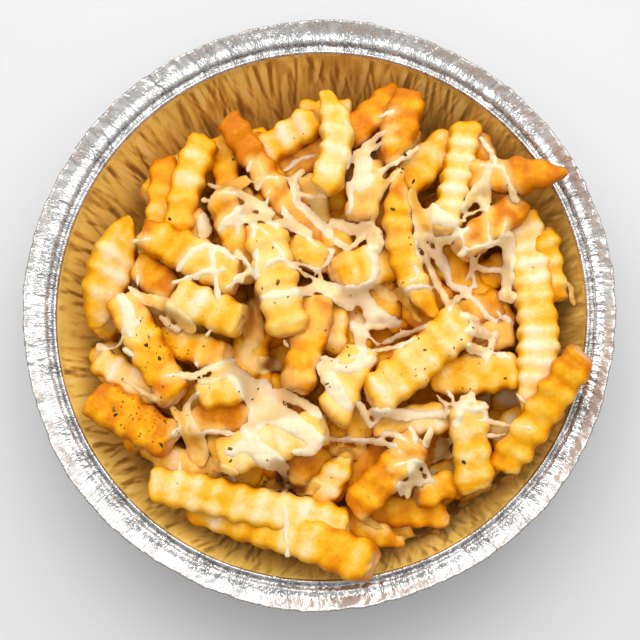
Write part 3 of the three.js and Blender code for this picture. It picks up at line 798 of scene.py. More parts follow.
def tube_faces(rings, around, inward=False):
    """Faces of a tube of rings whose ends are closed by the two pole points that come after the rings."""
    quads = ring_faces(rings, around)
    return [
        quads[:, ::-1] if inward else quads,
        fan_faces(0, around, rings * around, not inward),
        fan_faces((rings - 1) * around, around, rings * around + 1, inward),
    ]


def fry_skin(one, along, theta, rng):
    """A fry's skin at the angle theta: its distance from the middle line, its share across, and its crests.

    It is a squarish superellipse of the fry's width and thickness. A rounded cosine along the fry swells
    and pinches it, most at its sides, and smooth noise warps it.
    """
    cos, sin = np.cos(theta), np.sin(theta)
    half_wide = one["wide"] / 2 * (1.05 + SWELL * wobble(rng, along, 0.0, 3, 14, 40))
    half_thick = one["thick"] / 2 * (1.04 + SWELL * wobble(rng, along, 0.0, 3, 12, 36))
    box = np.abs(cos / half_wide) ** SQUARENESS + np.abs(sin / half_thick) ** SQUARENESS
    radius = box ** (-1 / SQUARENESS)
    across = radius * cos / half_wide

    skew = rng.uniform(-RIDGE_SKEW, RIDGE_SKEW)
    phase = math.tau * (along + skew * radius * cos) / one["pitch"] + rng.uniform(0, math.tau)
    phase = phase + RIDGE_WANDER * wobble(rng, along, 0.0, 2, 18, 40)
    crest = np.cos(phase + rng.uniform(-0.5, 0.5) * np.maximum(across, 0))
    crest = np.sign(crest) * np.abs(crest) ** CREST_POWER
    strength = RIDGE * rng.uniform(0.7, 1.05) * (1.0 + 0.3 * wobble(rng, along, theta * 4, 3, 10, 30))
    strength = strength * (RIDGE_ON_TOP + RIDGE_ON_SIDES * across ** 2)
    lumps = LUMPS[0] * wobble(rng, along, theta * 5, 6, 3.0, 9.0)
    lumps = lumps + LUMPS[1] * wobble(rng, along, theta * 5, 6, 1.6, 3.0)
    return radius + crest * strength + lumps, across, crest


def placed(one, t, across, over, along):
    """Points round the middle line of a fry at t, from how far they lie across, over and along it."""
    _, upright = directions_of(one)
    inner = np.clip(t, 0.001, 0.999)
    heading = middle_of(one, inner + 0.001) - middle_of(one, inner - 0.001)
    heading = heading / np.linalg.norm(heading, axis=1, keepdims=True)
    side = np.cross(upright, heading)
    side = side / np.linalg.norm(side, axis=1, keepdims=True)
    up = np.cross(heading, side)
    points = middle_of(one, t)[:, None, :] + side[:, None, :] * across[..., None]
    return points + up[:, None, :] * over[..., None] + heading[:, None, :] * along[..., None]


def fry_surface(one, rng):
    """A crinkle-cut fry as rings of its skin round its middle line.

    Its ends are rounded by a square, slanted and roughened with an exponential fade, and closed by caps of
    shrinking rings. The values say how orange each point is, and where crests, flanks and ends lie.
    """
    run = one["length"]
    stations = np.linspace(0.0, 1.0, max(12, int(run / STATION_STEP)))
    caps = np.array(CAP_SCALES)
    t = np.concatenate([np.zeros(len(caps)), stations, np.ones(len(caps))])
    cap = np.concatenate([caps[::-1], np.ones(len(stations)), caps])[:, None]
    theta = turns(AROUND)[None, :]
    from_start = (t * run)[:, None]
    to_end = run - from_start
    radius, across, crest = fry_skin(one, from_start, theta, rng)

    full = fullness(one, t)[:, None]
    for distance, end in ((from_start, "from"), (to_end, "to")):
        rounding = POINTED_ROUNDING if is_pointed(one, end) else BLUNT_ROUNDING
        full = full * (1.0 - rounding * np.clip(1.0 - distance / END_ROUNDING, 0, 1) ** 2)
    a = radius * np.cos(theta) * full * cap
    o = radius * np.sin(theta) * full * cap

    dome = DOME * (1.0 - cap ** 2)
    slants = rng.uniform(-END_SLANT, END_SLANT, 2)
    tilts = rng.uniform(-END_TILT, END_TILT, 2)
    rough = END_ROUGHNESS * wobble(rng, a, o, 4, 2, 6)
    first, last = [
        np.exp(-distance / END_FADE) * (slant * a + tilt * o + rough)
        for distance, slant, tilt in ((from_start, slants[0], tilts[0]), (to_end, slants[1], tilts[1]))
    ]
    is_last = from_start >= run / 2
    axial = first - dome * ~is_last + last + dome * is_last
    points = placed(one, t, a + SWAY * wobble(rng, from_start, 0.0, 2, 30, 60), o, axial)
    poles = np.stack([points[0].mean(axis=0), points[-1].mean(axis=0)])

    values = {
        "tone": np.clip(one["tone"] * 0.92 + 0.13 * wobble(rng, from_start, theta * 5, 4, 10, 30), 0, 1),
        "crest": 0.5 + 0.5 * crest,
        "flank": smooth_step(np.abs(across), 0.62, 1.0),
        "near_end": np.exp(-np.minimum(from_start, to_end) / 3.5),
        "bare_end": 1.0 - smooth_step(cap, 0.6, 1.0),
        "cheesy": np.full((1, 1), one["cheesy"]),
    }
    for key, value in values.items():
        value = np.broadcast_to(value, radius.shape)
        values[key] = np.concatenate([value.ravel(), value[[0, -1], 0]])
    return np.concatenate([points.reshape(-1, 3), poles]), tube_faces(len(t), AROUND), values


def fry_at(x, y, heading, half, wide, tone):
    """One fry by its middle, its heading and half its length."""
    dx, dy = half * math.cos(heading), half * math.sin(heading)
    return fry((x - dx, y - dy), (x + dx, y + dy), wide, tone)


def bed_fries(rng):
    """Fries under the showing ones, at random places and headings, a layer's depth below the crown."""
    bed = []
    for depth, count, inner, outer in BED_LAYERS:
        for _ in range(count):
            place = math.sqrt(rng.uniform(inner ** 2, outer ** 2))
            turn = rng.uniform(0, math.tau)
            heading = rng.uniform(0, math.pi)
            half = rng.uniform(13, 20)
            x, y = place * math.cos(turn), place * math.sin(turn)
            if depth > DEEP_BED:
                heading = turn + math.pi / 2 + rng.uniform(-0.5, 0.5)
                half = rng.uniform(9, 14)
            elif place > BED_PULL_FROM:
                pull = min(1.0, (BED_REACH - half) / place)
                x, y = x * pull, y * pull
            # Bed fries under the showing ones take deeper orange tones, partly painted shade for the gaps
            # they show through; the deepest ring is pale
            tone = rng.uniform(0.45, 0.8) if depth < DEEP_BED else rng.uniform(0.0, 0.15)
            one = fry_at(x, y, heading, half, rng.uniform(8.5, 11), tone)
            level = float(crown_at(x, y)) - depth - THICK / 2 + rng.uniform(-2, 2)
            lean = rng.uniform(-2.5, 2.5)
            t = np.linspace(0, 1, 9)
            one["z0"], one["z1"] = level - lean, level + lean
            low = point_of(one, t, np.zeros_like(t), -1.0, RIDGE)
            ask = pan_support(np.hypot(low[:, 0], low[:, 1]) + BED_WALL_GAP, 0.0)
            lift = max(0.0, float((ask - low[:, 2]).max()))
            one["z0"] += lift
            one["z1"] += lift
            bed.append(one)
    return bed


def wall_fries(undersides, rng):
    """Fries along the wall, ring under ring, each just inside the outline of the showing ones above it."""
    radii = np.arange(44.0, WALL_REACH, 0.5)
    tucked = []
    shown = np.isfinite(undersides)
    for count, inset in WALL_RINGS:
        for turn in turns(count) + rng.uniform(-0.1, 0.1, count):
            row, column = map_cell(radii * math.cos(turn), radii * math.sin(turn))
            covered = radii[shown[row, column]]
            place = (covered.max() if len(covered) else radii[0]) - inset
            x, y = place * math.cos(turn), place * math.sin(turn)
            heading = turn + math.pi / 2 + rng.uniform(-0.3, 0.3)
            half = rng.uniform(7, 11)
            one = fry_at(x, y, heading, half, rng.uniform(8, 10.5), rng.uniform(0.0, 0.2))
            one["depth"] = LAYER_DEPTHS["low"]
            settle(one, undersides)
            mark_underside(one, undersides)
            tucked.append(one)
    return tucked


def core_surface():
    """The hidden core: rings whose height falls with the fourth power of the radius, closed underneath."""
    floor = FOIL + PAN_CLEARANCE
    foot = CORE_RADIUS - 3.0
    radii = np.linspace(2.0, foot, 26)
    heights = np.maximum(core_top(radii) - CORE_DROP, floor + 1.0)
    radii = np.concatenate([radii, [foot + 0.6, foot, 2.0]])[:, None]
    heights = np.concatenate([heights, [floor + 2.0, floor, floor]])[:, None]
    angle = turns(CORE_AROUND)
    rings = [radii * np.cos(angle), radii * np.sin(angle), heights * np.ones(CORE_AROUND)]
    poles = np.array([[0, 0, CORE_TOP - CORE_DROP], [0, 0, floor]])
    points = np.concatenate([np.stack(rings, axis=-1).reshape(-1, 3), poles])
    shares = {"tone": 0.4, "crest": 0.5, "flank": 0.5, "near_end": 0.0, "bare_end": 0.0, "cheesy": 0.0}
    values = {key: np.full(len(points), share) for key, share in shares.items()}
    return points, tube_faces(len(radii), CORE_AROUND, inward=True), values


def cheese_cell(x, y):
    """Row and column of the cheese's grid nearest to a place."""
    column = np.rint((x + CHEESE_HALF) / CHEESE_CELL).astype(int)
    row = np.rint((y + CHEESE_HALF) / CHEESE_CELL).astype(int)
    return row, column


def cheese_places():
    """The x and y of every place of the cheese's grid."""
    axis = np.linspace(-CHEESE_HALF, CHEESE_HALF, CHEESE_SIDE)
    return np.meshgrid(axis, axis)


def height_map(surfaces):
    """Highest surface over each cell of the cheese's grid, from a four by three grid on every quad."""
    x, y = cheese_places()
    heights = pan_top(np.hypot(x - MOUTH_SHIFT[0], y - MOUTH_SHIFT[1]))
    for points, faces, _ in surfaces:
        quads = np.concatenate([points[face] for face in faces if face.shape[1] == 4])
        for u in (0.0, 0.25, 0.5, 0.75):
            low = quads[:, 0] * (1 - u) + quads[:, 1] * u
            high = quads[:, 3] * (1 - u) + quads[:, 2] * u
            for v in (0.0, 0.33, 0.67):
                place = low * (1 - v) + high * v
                row, column = cheese_cell(place[:, 0], place[:, 1])
                inside = (np.minimum(column, row) >= 0) & (np.maximum(column, row) < CHEESE_SIDE)
                np.maximum.at(heights, (row[inside], column[inside]), place[inside, 2])
    return heights


def rounded(path):
    """A path with its corners cut twice, a quarter of each stretch at a time."""
    points = np.array(path, float)
    for _ in range(2):
        near = 0.75 * points[:-1] + 0.25 * points[1:]
        far = 0.25 * points[:-1] + 0.75 * points[1:]
        middle = np.stack([near, far], axis=1).reshape(-1, 2)
        points = np.concatenate([points[:1], middle, points[-1:]])
    return points


def strip_fields(strips, x, y):
    """Distance inside the edge of the strips, their thickness and tan, neighbours running together softly."""
    total = np.full(x.shape, 1e-9)
    thick = np.zeros(x.shape)
    tan = np.zeros(x.shape)
    for one in strips:
        points = rounded(one["path"])
        stretches = len(points) - 1
        best = np.full(x.shape, -9.0)
        for i in range(stretches):
            ax, ay = points[i]
            dx, dy = points[i + 1] - points[i]
            share = np.clip(((x - ax) * dx + (y - ay) * dy) / (dx * dx + dy * dy + 1e-9), 0.0, 1.0)
            away = np.hypot(x - ax - share * dx, y - ay - share * dy)
            along = (i + share) / stretches
            half = one["wide"] / 2 * (1.12 - 0.4 * (2 * along - 1) ** 2)
            best = np.maximum(best, half - away)
        weight = np.exp(np.minimum(best, 4.0) / CHEESE_BLEND)
        total += weight
        thick += weight * one["thick"]
        tan += weight * one["tan"]
    return CHEESE_BLEND * np.log(total), thick / total, tan / total


def near_mean(values, mask):
    """Mean of the four neighbours that lie in the mask, or the value itself where there are none."""
    def beside(grid):
        held = np.pad(grid, 1)
        return held[:-2, 1:-1] + held[2:, 1:-1] + held[1:-1, :-2] + held[1:-1, 2:]

    count = beside(mask.astype(float))
    return np.where(count > 0, beside(np.where(mask, values, 0.0)) / np.maximum(count, 1.0), values)


def cheese_fields(rng):
    """Over the cheese's grid: distance inside its edge, roughened by smooth noise, its thickness, its tan,
    where it is pulled taut, and the thin film round it and in soft patches over the middle."""
    x, y = cheese_places()
    pulled, thick, tan = strip_fields(PULLED_CHEESE, x, y)
    lying, lying_thick, lying_tan = strip_fields(LYING_CHEESE, x, y)
    taut = pulled > lying
    inside = np.maximum(pulled, lying)
    inside = inside + 0.22 * wobble(rng, x, y, 9, 1.8, 6) + 0.2 * wobble(rng, x, y, 7, 6, 15)
    patches = wobble(rng, x, y, 10, 8, 24) - FILM_FALL * np.hypot(x / FILM_REACH, y / FILM_REACH) ** 3
    film = np.maximum(smooth_step(inside, -FILM_SPREAD, 0.3), 0.5 * smooth_step(patches, -0.1, 0.9))
    return inside, np.where(taut, thick, lying_thick), np.where(taut, tan, lying_tan), taut, film


def film_on(points, film, heights):
    """The cheese film at points of a fry: the film's map, less where a point is covered or lies deep."""
    row, column = np.clip(cheese_cell(points[:, 0], points[:, 1]), 0, CHEESE_SIDE - 1)
    buried = smooth_step(heights[row, column] - points[:, 2], 0.8, 3.0)
    deep = smooth_step(crown_at(points[:, 0], points[:, 1]) - points[:, 2], FILM_DEPTH, FILM_DEPTH + 8.0)
    return film[row, column] * (1.0 - buried) * (1.0 - deep)


def cheese_outline(inside):
    """Where the cheese has quads, which grid points they use, and which of those lie on its edge."""
    def four(grid):
        return grid[:-1, :-1], grid[1:, :-1], grid[:-1, 1:], grid[1:, 1:]

    solid = np.pad((inside > 0)[2:-2, 2:-2], 2)
    quads = np.logical_or.reduce(four(solid))
    bare = np.pad(~quads, 1, constant_values=True)
    used = ~np.logical_and.reduce(four(bare))
    return quads, used, used & np.logical_or.reduce(four(bare))


def cheese_level(heights, inside, taut, used):
    """Height of the cheese's middle: never below the mean of its neighbours, and sinking at its edge."""
    floor = heights + CHEESE_LIFT
    level = floor.copy()
    for turn in range(PULL_ROUNDS):
        pull = np.maximum(floor, near_mean(level, used) - PULL_SAG)
        level = np.where(used & (taut | (turn < LYING_ROUNDS)), pull, level)
    return level - EDGE_SINK * np.exp(-np.maximum(inside, 0.0) / EDGE_SLOPE)


def cheese_surface(heights, fields, rng):
    """Melted cheese as a closed skin over the height map.

    Its outline is where the distance inside its edge is above zero. Strands are pulled taut over what they
    cross, each place no lower than the mean of its neighbours, while what lies in a hollow only rounds it
    off. The skin thickens inwards from its edge, where top and underside meet just below the surface.
    """
    x, y = cheese_places()
    inside, thick, tan, taut, _ = fields
    quads, used, edge = cheese_outline(inside)
    level = cheese_level(heights, inside, taut, used)
    full = 1.0 - np.exp(-np.maximum(inside, 0.0) / EDGE_SWELL)
    lumps = 1.0 + CHEESE_LUMPS * wobble(rng, x, y, 8, 1.6, 5)
    top = level + thick * full * np.maximum(lumps, 0.3)
    under = level - CHEESE_BELLY * thick * full

    slope_y, slope_x = np.gradient(inside, CHEESE_CELL)
    steep = slope_x ** 2 + slope_y ** 2 + 0.05
    for place, slope in ((x, slope_x), (y, slope_y)):
        place += np.where(edge, np.clip(-inside * slope / steep, -CHEESE_CELL, CHEESE_CELL), 0.0)

    inner = used & ~edge
    upper = np.full(x.shape, -1)
    upper[used] = np.arange(used.sum())
    lower = upper.copy()
    lower[inner] = used.sum() + np.arange(inner.sum())
    points = np.concatenate([
        np.stack([x[used], y[used], np.where(edge, level, top)[used]], axis=-1),
        np.stack([x[inner], y[inner], under[inner]], axis=-1),
    ])
    row, column = np.nonzero(quads)
    corners = [(row, column), (row, column + 1), (row + 1, column + 1), (row + 1, column)]
    faces = [
        np.stack([upper[corner] for corner in corners], axis=-1),
        np.stack([lower[corner] for corner in reversed(corners)], axis=-1),
    ]
    # Hanging cheese turns tan: painted shade of the gap below, seen through it
    hung = smooth_step(level - heights, 0.8, 5.0)
    seen_through = np.clip(tan + 0.3 * hung, 0, 1)
    values = {"tan": np.concatenate([seen_through[used], seen_through[inner]])}
    border = np.concatenate([edge[used], np.zeros(inner.sum(), bool)])
    return points, faces, values, border, np.where(inner, top, heights)


def herb_flecks(heights, rng):
    """Dried herb flecks: small flat chips of five uneven sides, lying along the surface under them."""
    loose = rng.normal((0.0, 0.0), (32.0, 32.0), (LOOSE_HERBS, 2))
    patches = [rng.normal(place, spread, (count, 2)) for place, spread, count in HERB_PATCHES]
    spots = np.concatenate([np.array(LARGE_HERBS, float), loose, *patches])
    spots = spots[np.hypot(spots[:, 0], spots[:, 1]) < HERB_REACH]
    count = len(spots)
    size = rng.uniform(0.2, 0.5, count)
    size[:len(LARGE_HERBS)] = rng.uniform(0.8, 1.15, len(LARGE_HERBS))
    row, column = cheese_cell(spots[:, 0], spots[:, 1])
    slope_y, slope_x = np.gradient(heights, CHEESE_CELL)
    tilt_x, tilt_y = [np.clip(slope[row, column], -1.2, 1.2)[:, None] for slope in (slope_x, slope_y)]
    height = heights[row, column] + HERB_LIFT

    angle = turns(HERB_SIDES)[None, :] + rng.uniform(0, 6, (count, 1))
    reach = size[:, None] * rng.uniform(0.5, 1.2, (count, HERB_SIDES))
    turn = rng.uniform(0, math.pi, (count, 1))
    long, short = reach * np.cos(angle), reach * np.sin(angle) * 0.6
    dx = long * np.cos(turn) - short * np.sin(turn)
    dy = long * np.sin(turn) + short * np.cos(turn)
    dz = dx * tilt_x + dy * tilt_y + rng.uniform(-0.05, 0.1, (count, HERB_SIDES))
    rim = np.stack([spots[:, :1] + dx, spots[:, 1:] + dy, height[:, None] + dz], axis=-1)
    middle = np.stack([spots[:, 0], spots[:, 1], height], axis=-1)[:, None, :]
    above = middle + np.array([0.0, 0.0, HERB_ABOVE])
    below = middle - np.array([0.0, 0.0, HERB_BELOW])
    points = np.concatenate([rim, above, below], axis=1).reshape(-1, 3)
    start = (np.arange(count) * (HERB_SIDES + 2))[:, None]
    j = np.arange(HERB_SIDES)[None, :]
    a, b = start + j, start + (j + 1) % HERB_SIDES
    top, low = start + HERB_SIDES + 0 * j, start + HERB_SIDES + 1 + 0 * j
    faces = [np.stack(corners, axis=-1).reshape(-1, 3) for corners in ((a, b, top), (b, a, low))]
    shade = np.repeat(rng.uniform(0, 1, count), HERB_SIDES + 2)
    return points, faces, {"shade": shade}


def foil_rows():
    """The run of the foil's middle as rows of radius and height, each stretch with its share of the rows."""
    ledge = MOUTH_RADIUS + LEDGE_WIDTH
    band = ledge + BAND_WIDTH
    corners = [
        (0.0, 0.2, 3), (BASE_FLAT_RADIUS - 3, 0.2, 2), (BASE_FLAT_RADIUS, 0.2, 4),
        (BASE_FLAT_RADIUS + 3.4, 1.4, 5), (BASE_RADIUS, CORNER_HEIGHT, 22),
        (MOUTH_RADIUS - 0.9, MOUTH_HEIGHT - 3.2, 4), (MOUTH_RADIUS - 0.2, MOUTH_HEIGHT - 0.3, 4),
        (MOUTH_RADIUS + 0.5, MOUTH_HEIGHT + 0.2, 4), (MOUTH_RADIUS + 1.1, MOUTH_HEIGHT - 0.6, 3),
        (ledge - 0.1, MOUTH_HEIGHT - 0.6, 3), (ledge + 0.5, MOUTH_HEIGHT + 0.5, 5),
        (band - 0.3, MOUTH_HEIGHT + 0.5, 6), (band + FLANGE_REACH, MOUTH_HEIGHT + 0.5 + FLANGE_RISE, 0),
    ]
    rows = []
    for (r0, z0, steps), (r1, z1, _) in zip(corners, corners[1:]):
        share = np.arange(steps) / steps
        rows.append(np.stack([r0 + (r1 - r0) * share, z0 + (z1 - z0) * share], axis=-1))
    rows.append(np.array([corners[-1][:2]]))
    soft = np.concatenate(rows)
    for _ in range(2):
        soft[1:-1] = 0.5 * soft[1:-1] + 0.25 * (soft[:-2] + soft[2:])
    return soft


def creases(rng, angle, along, reach, count, width, depth, lean):
    """The sum of creases at random angles: each a steep-sided fold, fading at both ends of its reach."""
    total = np.zeros(np.broadcast(angle, along).shape)
    for _ in range(count):
        middle = rng.uniform(reach[0], reach[1])
        half = rng.uniform(0.25, 0.6) * (reach[1] - reach[0])
        wide = rng.uniform(*width)
        slant = rng.uniform(-lean, lean)
        curl = rng.uniform(-lean, lean) * 0.04
        off = along - middle
        gap = np.angle(np.exp(1j * (angle - rng.uniform(0, math.tau)))) * RING_RADIUS
        gap = (gap - slant * off - curl * off * off) / wide
        fade = np.exp(-(off / half) ** 4)
        total = total + rng.uniform(*depth) * np.exp(-gap * gap) * (1.0 + 1.6 * gap) * fade
    return total


def foil_push(rng, run, angle, along):
    """How far the foil is pushed off its run, how far its flange moves out and up, and the folds' slope.

    Random creases run up the wall and round its foot, pleats cross the band and the flange, the base has
    shallow dents, and slow waves bend them all.
    """
    ring = angle * RING_RADIUS
    mouth = float(np.interp(MOUTH_RADIUS, run[:, 0], along[:, 0]))
    corner = float(np.interp(BASE_FLAT_RADIUS, run[:, 0], along[:, 0]))
    end = float(along[-1, 0])
    on_wall = smooth_step(along, corner - 2, corner + 6) * (1.0 - smooth_step(along, mouth - 3, mouth - 0.5))
    on_foot = (1.0 - smooth_step(along, corner + 8, corner + 20)) * on_wall
    on_rim = smooth_step(along, mouth + 1.2, mouth + 3.2)
    on_flange = smooth_step(along, mouth + 6.6, end - 1.0)
    on_base = 1.0 - smooth_step(along, corner - 4, corner)

    wall = creases(rng, angle, along, (corner, mouth), **WALL_CREASES)
    wall = wall + WALL_WAVES * wobble(rng, ring, along * 0.22, 8, 3.5, 9)
    foot = creases(rng, angle, along, (corner - 6, corner + 14), **FOOT_CREASES)
    dent = WALL_DENTS * wobble(rng, ring, along, 6, 24, 70)
    pleats = creases(rng, angle, along, (mouth + 1.5, end + 1), **PLEATS)
    fine = creases(rng, angle, along, (mouth + 2, end + 2), **FINE_PLEATS)
    ruffle = RUFFLE * wobble(rng, ring, along * 0.6, 8, 1.8, 5)
    edge_out = EDGE_OUT[0] * wobble(rng, ring, 0.0, 6, 22, 70) + EDGE_OUT[1] * wobble(rng, ring, 0.0, 5, 3, 8)
    edge_up = EDGE_UP[0] * wobble(rng, ring, 0.0, 6, 26, 90) + EDGE_UP[1] * wobble(rng, ring, 0.0, 5, 3, 9)
    radius = run[:, :1]
    base_dents = BASE_DENTS * wobble(rng, radius * np.cos(angle), radius * np.sin(angle), 7, 9, 30)
    wall = wall + creases(rng, angle, along, (corner, mouth), **FINE_CREASES)
    step = 2 * math.tau * RING_RADIUS / PAN_STEPS
    slope = (np.roll(wall, -1, axis=1) - np.roll(wall, 1, axis=1)) * on_wall / step

    push = on_wall * (wall + dent) + foot * on_foot
    push = push + on_rim * (pleats + fine) + (0.3 * on_rim + on_flange) * ruffle
    push = push + on_base * np.abs(base_dents)
    return push, on_flange * edge_out, on_flange * edge_up, slope


def foil_surface(rng):
    """The crumpled foil pan: its run turned about the upright axis and pushed off it.

    The wall leans and the rim is shifted as a whole, and both faces stand half a foil off the middle.
    Its values say where a point lies round the ring and up the run, whether it is on the inside of the pan,
    and on which side of a fold of the wall.
    """
    run = foil_rows()
    angle = turns(PAN_STEPS)[None, :]
    step = np.hypot(*np.diff(run, axis=0).T)
    along = np.concatenate([[0.0], np.cumsum(step)])[:, None]
    push, out, up, slope = foil_push(rng, run, angle, along)
    face = np.gradient(run, axis=0)
    face = face / np.linalg.norm(face, axis=1, keepdims=True)
    out_r, out_z = -face[:, 1:], face[:, :1]
    radius = run[:, :1] + push * out_r + out
    height = run[:, 1:] + push * out_z + up

    sheets = []
    for side, lowest in ((0.5, FOIL), (-0.5, 0.0)):
        r = radius + side * FOIL * out_r
        z = np.maximum(height + side * FOIL * out_z, lowest)
        lean = np.clip((z - CORNER_HEIGHT) / (MOUTH_HEIGHT - CORNER_HEIGHT), 0.0, 1.0)
        shift = smooth_step(r, MOUTH_RADIUS, MOUTH_RADIUS + LEDGE_WIDTH + BAND_WIDTH)
        x = r * np.cos(angle) + MOUTH_SHIFT[0] * lean + RIM_SHIFT[0] * shift
        y = r * np.sin(angle) + MOUTH_SHIFT[1] * lean + RIM_SHIFT[1] * shift
        sheets.append(np.stack([x, y, z], axis=-1))
    values = {
        "ring_x": RING_RADIUS * np.cos(angle),
        "ring_y": RING_RADIUS * np.sin(angle),
        "climb": along,
        "lining": np.ones((1, 1)),
        "fold": np.clip(0.5 + FOLD_GAIN * slope, 0.0, 1.0),
    }
    whole = np.concatenate([sheets[0][1:], sheets[1][1:][::-1][::2]])
    points = np.concatenate([whole.reshape(-1, 3), [[0, 0, FOIL], [0, 0, 0]]])
    for key, value in values.items():
        value = np.broadcast_to(value, radius.shape)
        back = value[1:][::-1][::2] * (0.0 if key == "lining" else 1.0)
        values[key] = np.concatenate([value[1:].ravel(), back.ravel(), [value[0, 0], 0.0]])
    return points, tube_faces(len(whole), PAN_STEPS, inward=True), values


def new_material(name):
    """A node material, with its tree and its Principled shader."""
    material = bpy.data.materials.new(name)
    material.use_nodes = True
    return material, material.node_tree, material.node_tree.nodes["Principled BSDF"]


def feed(node, inputs):
    """Sets a node's inputs by name or number, or links them where the value is another node's output."""
    for key, value in inputs.items():
        if isinstance(value, bpy.types.NodeSocket):
            node.id_data.links.new(value, node.inputs[key])
        else:
            node.inputs[key].default_value = value


def node_of(tree, kind, inputs=None, **settings):
    """Adds a node, sets its properties and feeds its inputs."""
    node = tree.nodes.new(kind)
    for key, value in settings.items():
        setattr(node, key, value)
    feed(node, inputs or {})
    return node


def tree_of(*values):
    """The node tree of the first value that is a node's output."""
    return next(value.id_data for value in values if isinstance(value, bpy.types.NodeSocket))


def worked(operation, *values, clamp=False):
    """One math node's value, from outputs and numbers."""
    inputs = dict(enumerate(values))
    node = node_of(tree_of(*values), "ShaderNodeMath", inputs, operation=operation, use_clamp=clamp)
    return node.outputs[0]


def plus(first, second, clamp=False):
    """The two added."""
    return worked("ADD", first, second, clamp=clamp)


def less(first, second):
    """The first less the second."""
    return worked("SUBTRACT", first, second)


def times(first, second, clamp=False):
    """The two multiplied."""
    return worked("MULTIPLY", first, second, clamp=clamp)


def line_of(value, slope, start):
    """A straight line: the value times a slope, plus a start."""
    return worked("MULTIPLY_ADD", value, slope, start)


def between(value, low, high, start=0.0, end=1.0):
    """From start where the value is low to end where it is high, in proportion, and held beyond."""
    inputs = {0: value, 1: low, 2: high, 3: start, 4: end}
    return node_of(value.id_data, "ShaderNodeMapRange", inputs).outputs[0]


def mixed(factor, first, second):
    """Colour mix of two inputs by a factor."""
    inputs = {0: factor, 6: first, 7: second}
    return node_of(factor.id_data, "ShaderNodeMix", inputs, data_type="RGBA").outputs[2]


def rgb(red, green, blue):
    """A colour as the eye reads it, 0 to 255, turned into the linear colour that shaders take."""
    def linear(part):
        part = part / 255
        return part / 12.92 if part <= 0.04045 else ((part + 0.055) / 1.055) ** 2.4
    return (linear(red), linear(green), linear(blue), 1.0)


def ramp_of(factor, stops):
    """A colour ramp over the factor, with stops of a place and a colour as the eye reads it."""
    node = node_of(factor.id_data, "ShaderNodeValToRGB", {0: factor})
    elements = node.color_ramp.elements
    for element, (place, colour) in zip(elements, (stops[0], stops[-1])):
        element.position = place
        element.color = rgb(*colour)
    for place, colour in stops[1:-1]:
        elements.new(place).color = rgb(*colour)
    return node.outputs["Color"]


def value_of(tree, key):
    """The value of this name that a mesh carries at its points."""
    return node_of(tree, "ShaderNodeAttribute", attribute_name=key).outputs["Fac"]


def object_place(tree):
    """A point's place on the object."""
    return node_of(tree, "ShaderNodeTexCoord").outputs["Object"]


def noise_of(place, scale, detail, distortion=0.0):
    """Smooth noise over a place, from 0 to 1."""
    inputs = {"Vector": place, "Scale": scale, "Detail": detail, "Distortion": distortion}
    return node_of(place.id_data, "ShaderNodeTexNoise", inputs).outputs["Fac"]


def unrolled(tree, squeeze):
    """The foil laid out flat: its place round a ring, and its way up the run, squeezed or stretched."""
    ring_x, ring_y = value_of(tree, "ring_x"), value_of(tree, "ring_y")
    up = times(value_of(tree, "climb"), squeeze)
    return node_of(tree, "ShaderNodeCombineXYZ", {0: ring_x, 1: ring_y, 2: up}).outputs[0]


def foil_relief(tree, grain):
    """Height of the foil's fine relief, and where it is kinked, which takes painted shade.

    Soft lines run up the wall, and sharp folds stand in clusters on the rim.
    """
    lines = noise_of(unrolled(tree, 0.12), 0.9, 3.0, 0.4)
    folds = worked("ABSOLUTE", less(noise_of(unrolled(tree, 0.3), 1.1, 2.0, 0.8), 0.5))
    clusters = between(noise_of(unrolled(tree, 0.05), 0.16, 2.0), 0.4, 0.56, 0.35, 1.0)
    clusters = times(clusters, between(value_of(tree, "climb"), RIM_START, RIM_START + 1.5))
    kinks = times(between(folds, 0.04, 0.0), between(clusters, 0.7, 1.0))
    height = plus(times(lines, 0.38), times(grain, 0.04))
    return plus(height, times(times(folds, clusters), 3.0)), kinks


def painted_wall_reflection(tree):
    """Painted reflection of the fries on the wall's lining, and its streaks from 0, brown, to 1, gold.

    The streaks are pools and shades of noise, with painted light leaning over the pan, and painted lighter on
    one side of each crease of the mesh. Creases in groups also have a painted glint on that side and painted
    shade in a deep furrow on the other.
    """
    pools = between(noise_of(unrolled(tree, 0.4), 0.09, 3.0, 0.6), 0.26, 0.5)
    shades = between(noise_of(unrolled(tree, 0.1), 0.5, 3.0, 0.6), 0.3, 0.62)
    groups = between(noise_of(unrolled(tree, 0.5), 0.11, 2.0), 0.36, 0.56)
    folded = times(less(value_of(tree, "fold"), 0.5), groups)
    # Painted light: the streaks grow lighter towards -x and -y
    over_x = times(value_of(tree, "ring_x"), PAINTED_SIDE_LIGHT[0])
    over_y = times(value_of(tree, "ring_y"), PAINTED_SIDE_LIGHT[1])
    reflection_streaks = plus(plus(times(pools, 0.6), times(shades, 0.45)), plus(over_x, over_y))
    reflection_streaks = plus(reflection_streaks, times(folded, 2.0), clamp=True)
    colour = mixed(reflection_streaks, REFLECTION_PAINT_BROWN, REFLECTION_PAINT_GOLD)
    # Painted glint on one side of each fold, painted shade in the furrow on the other
    colour = mixed(times(between(folded, 0.16, 0.42), 0.7), colour, FOLD_PAINTED_GLINT)
    colour = mixed(times(between(folded, -0.06, -0.36), 0.6), colour, FURROW_PAINTED_SHADE)
    return colour, reflection_streaks


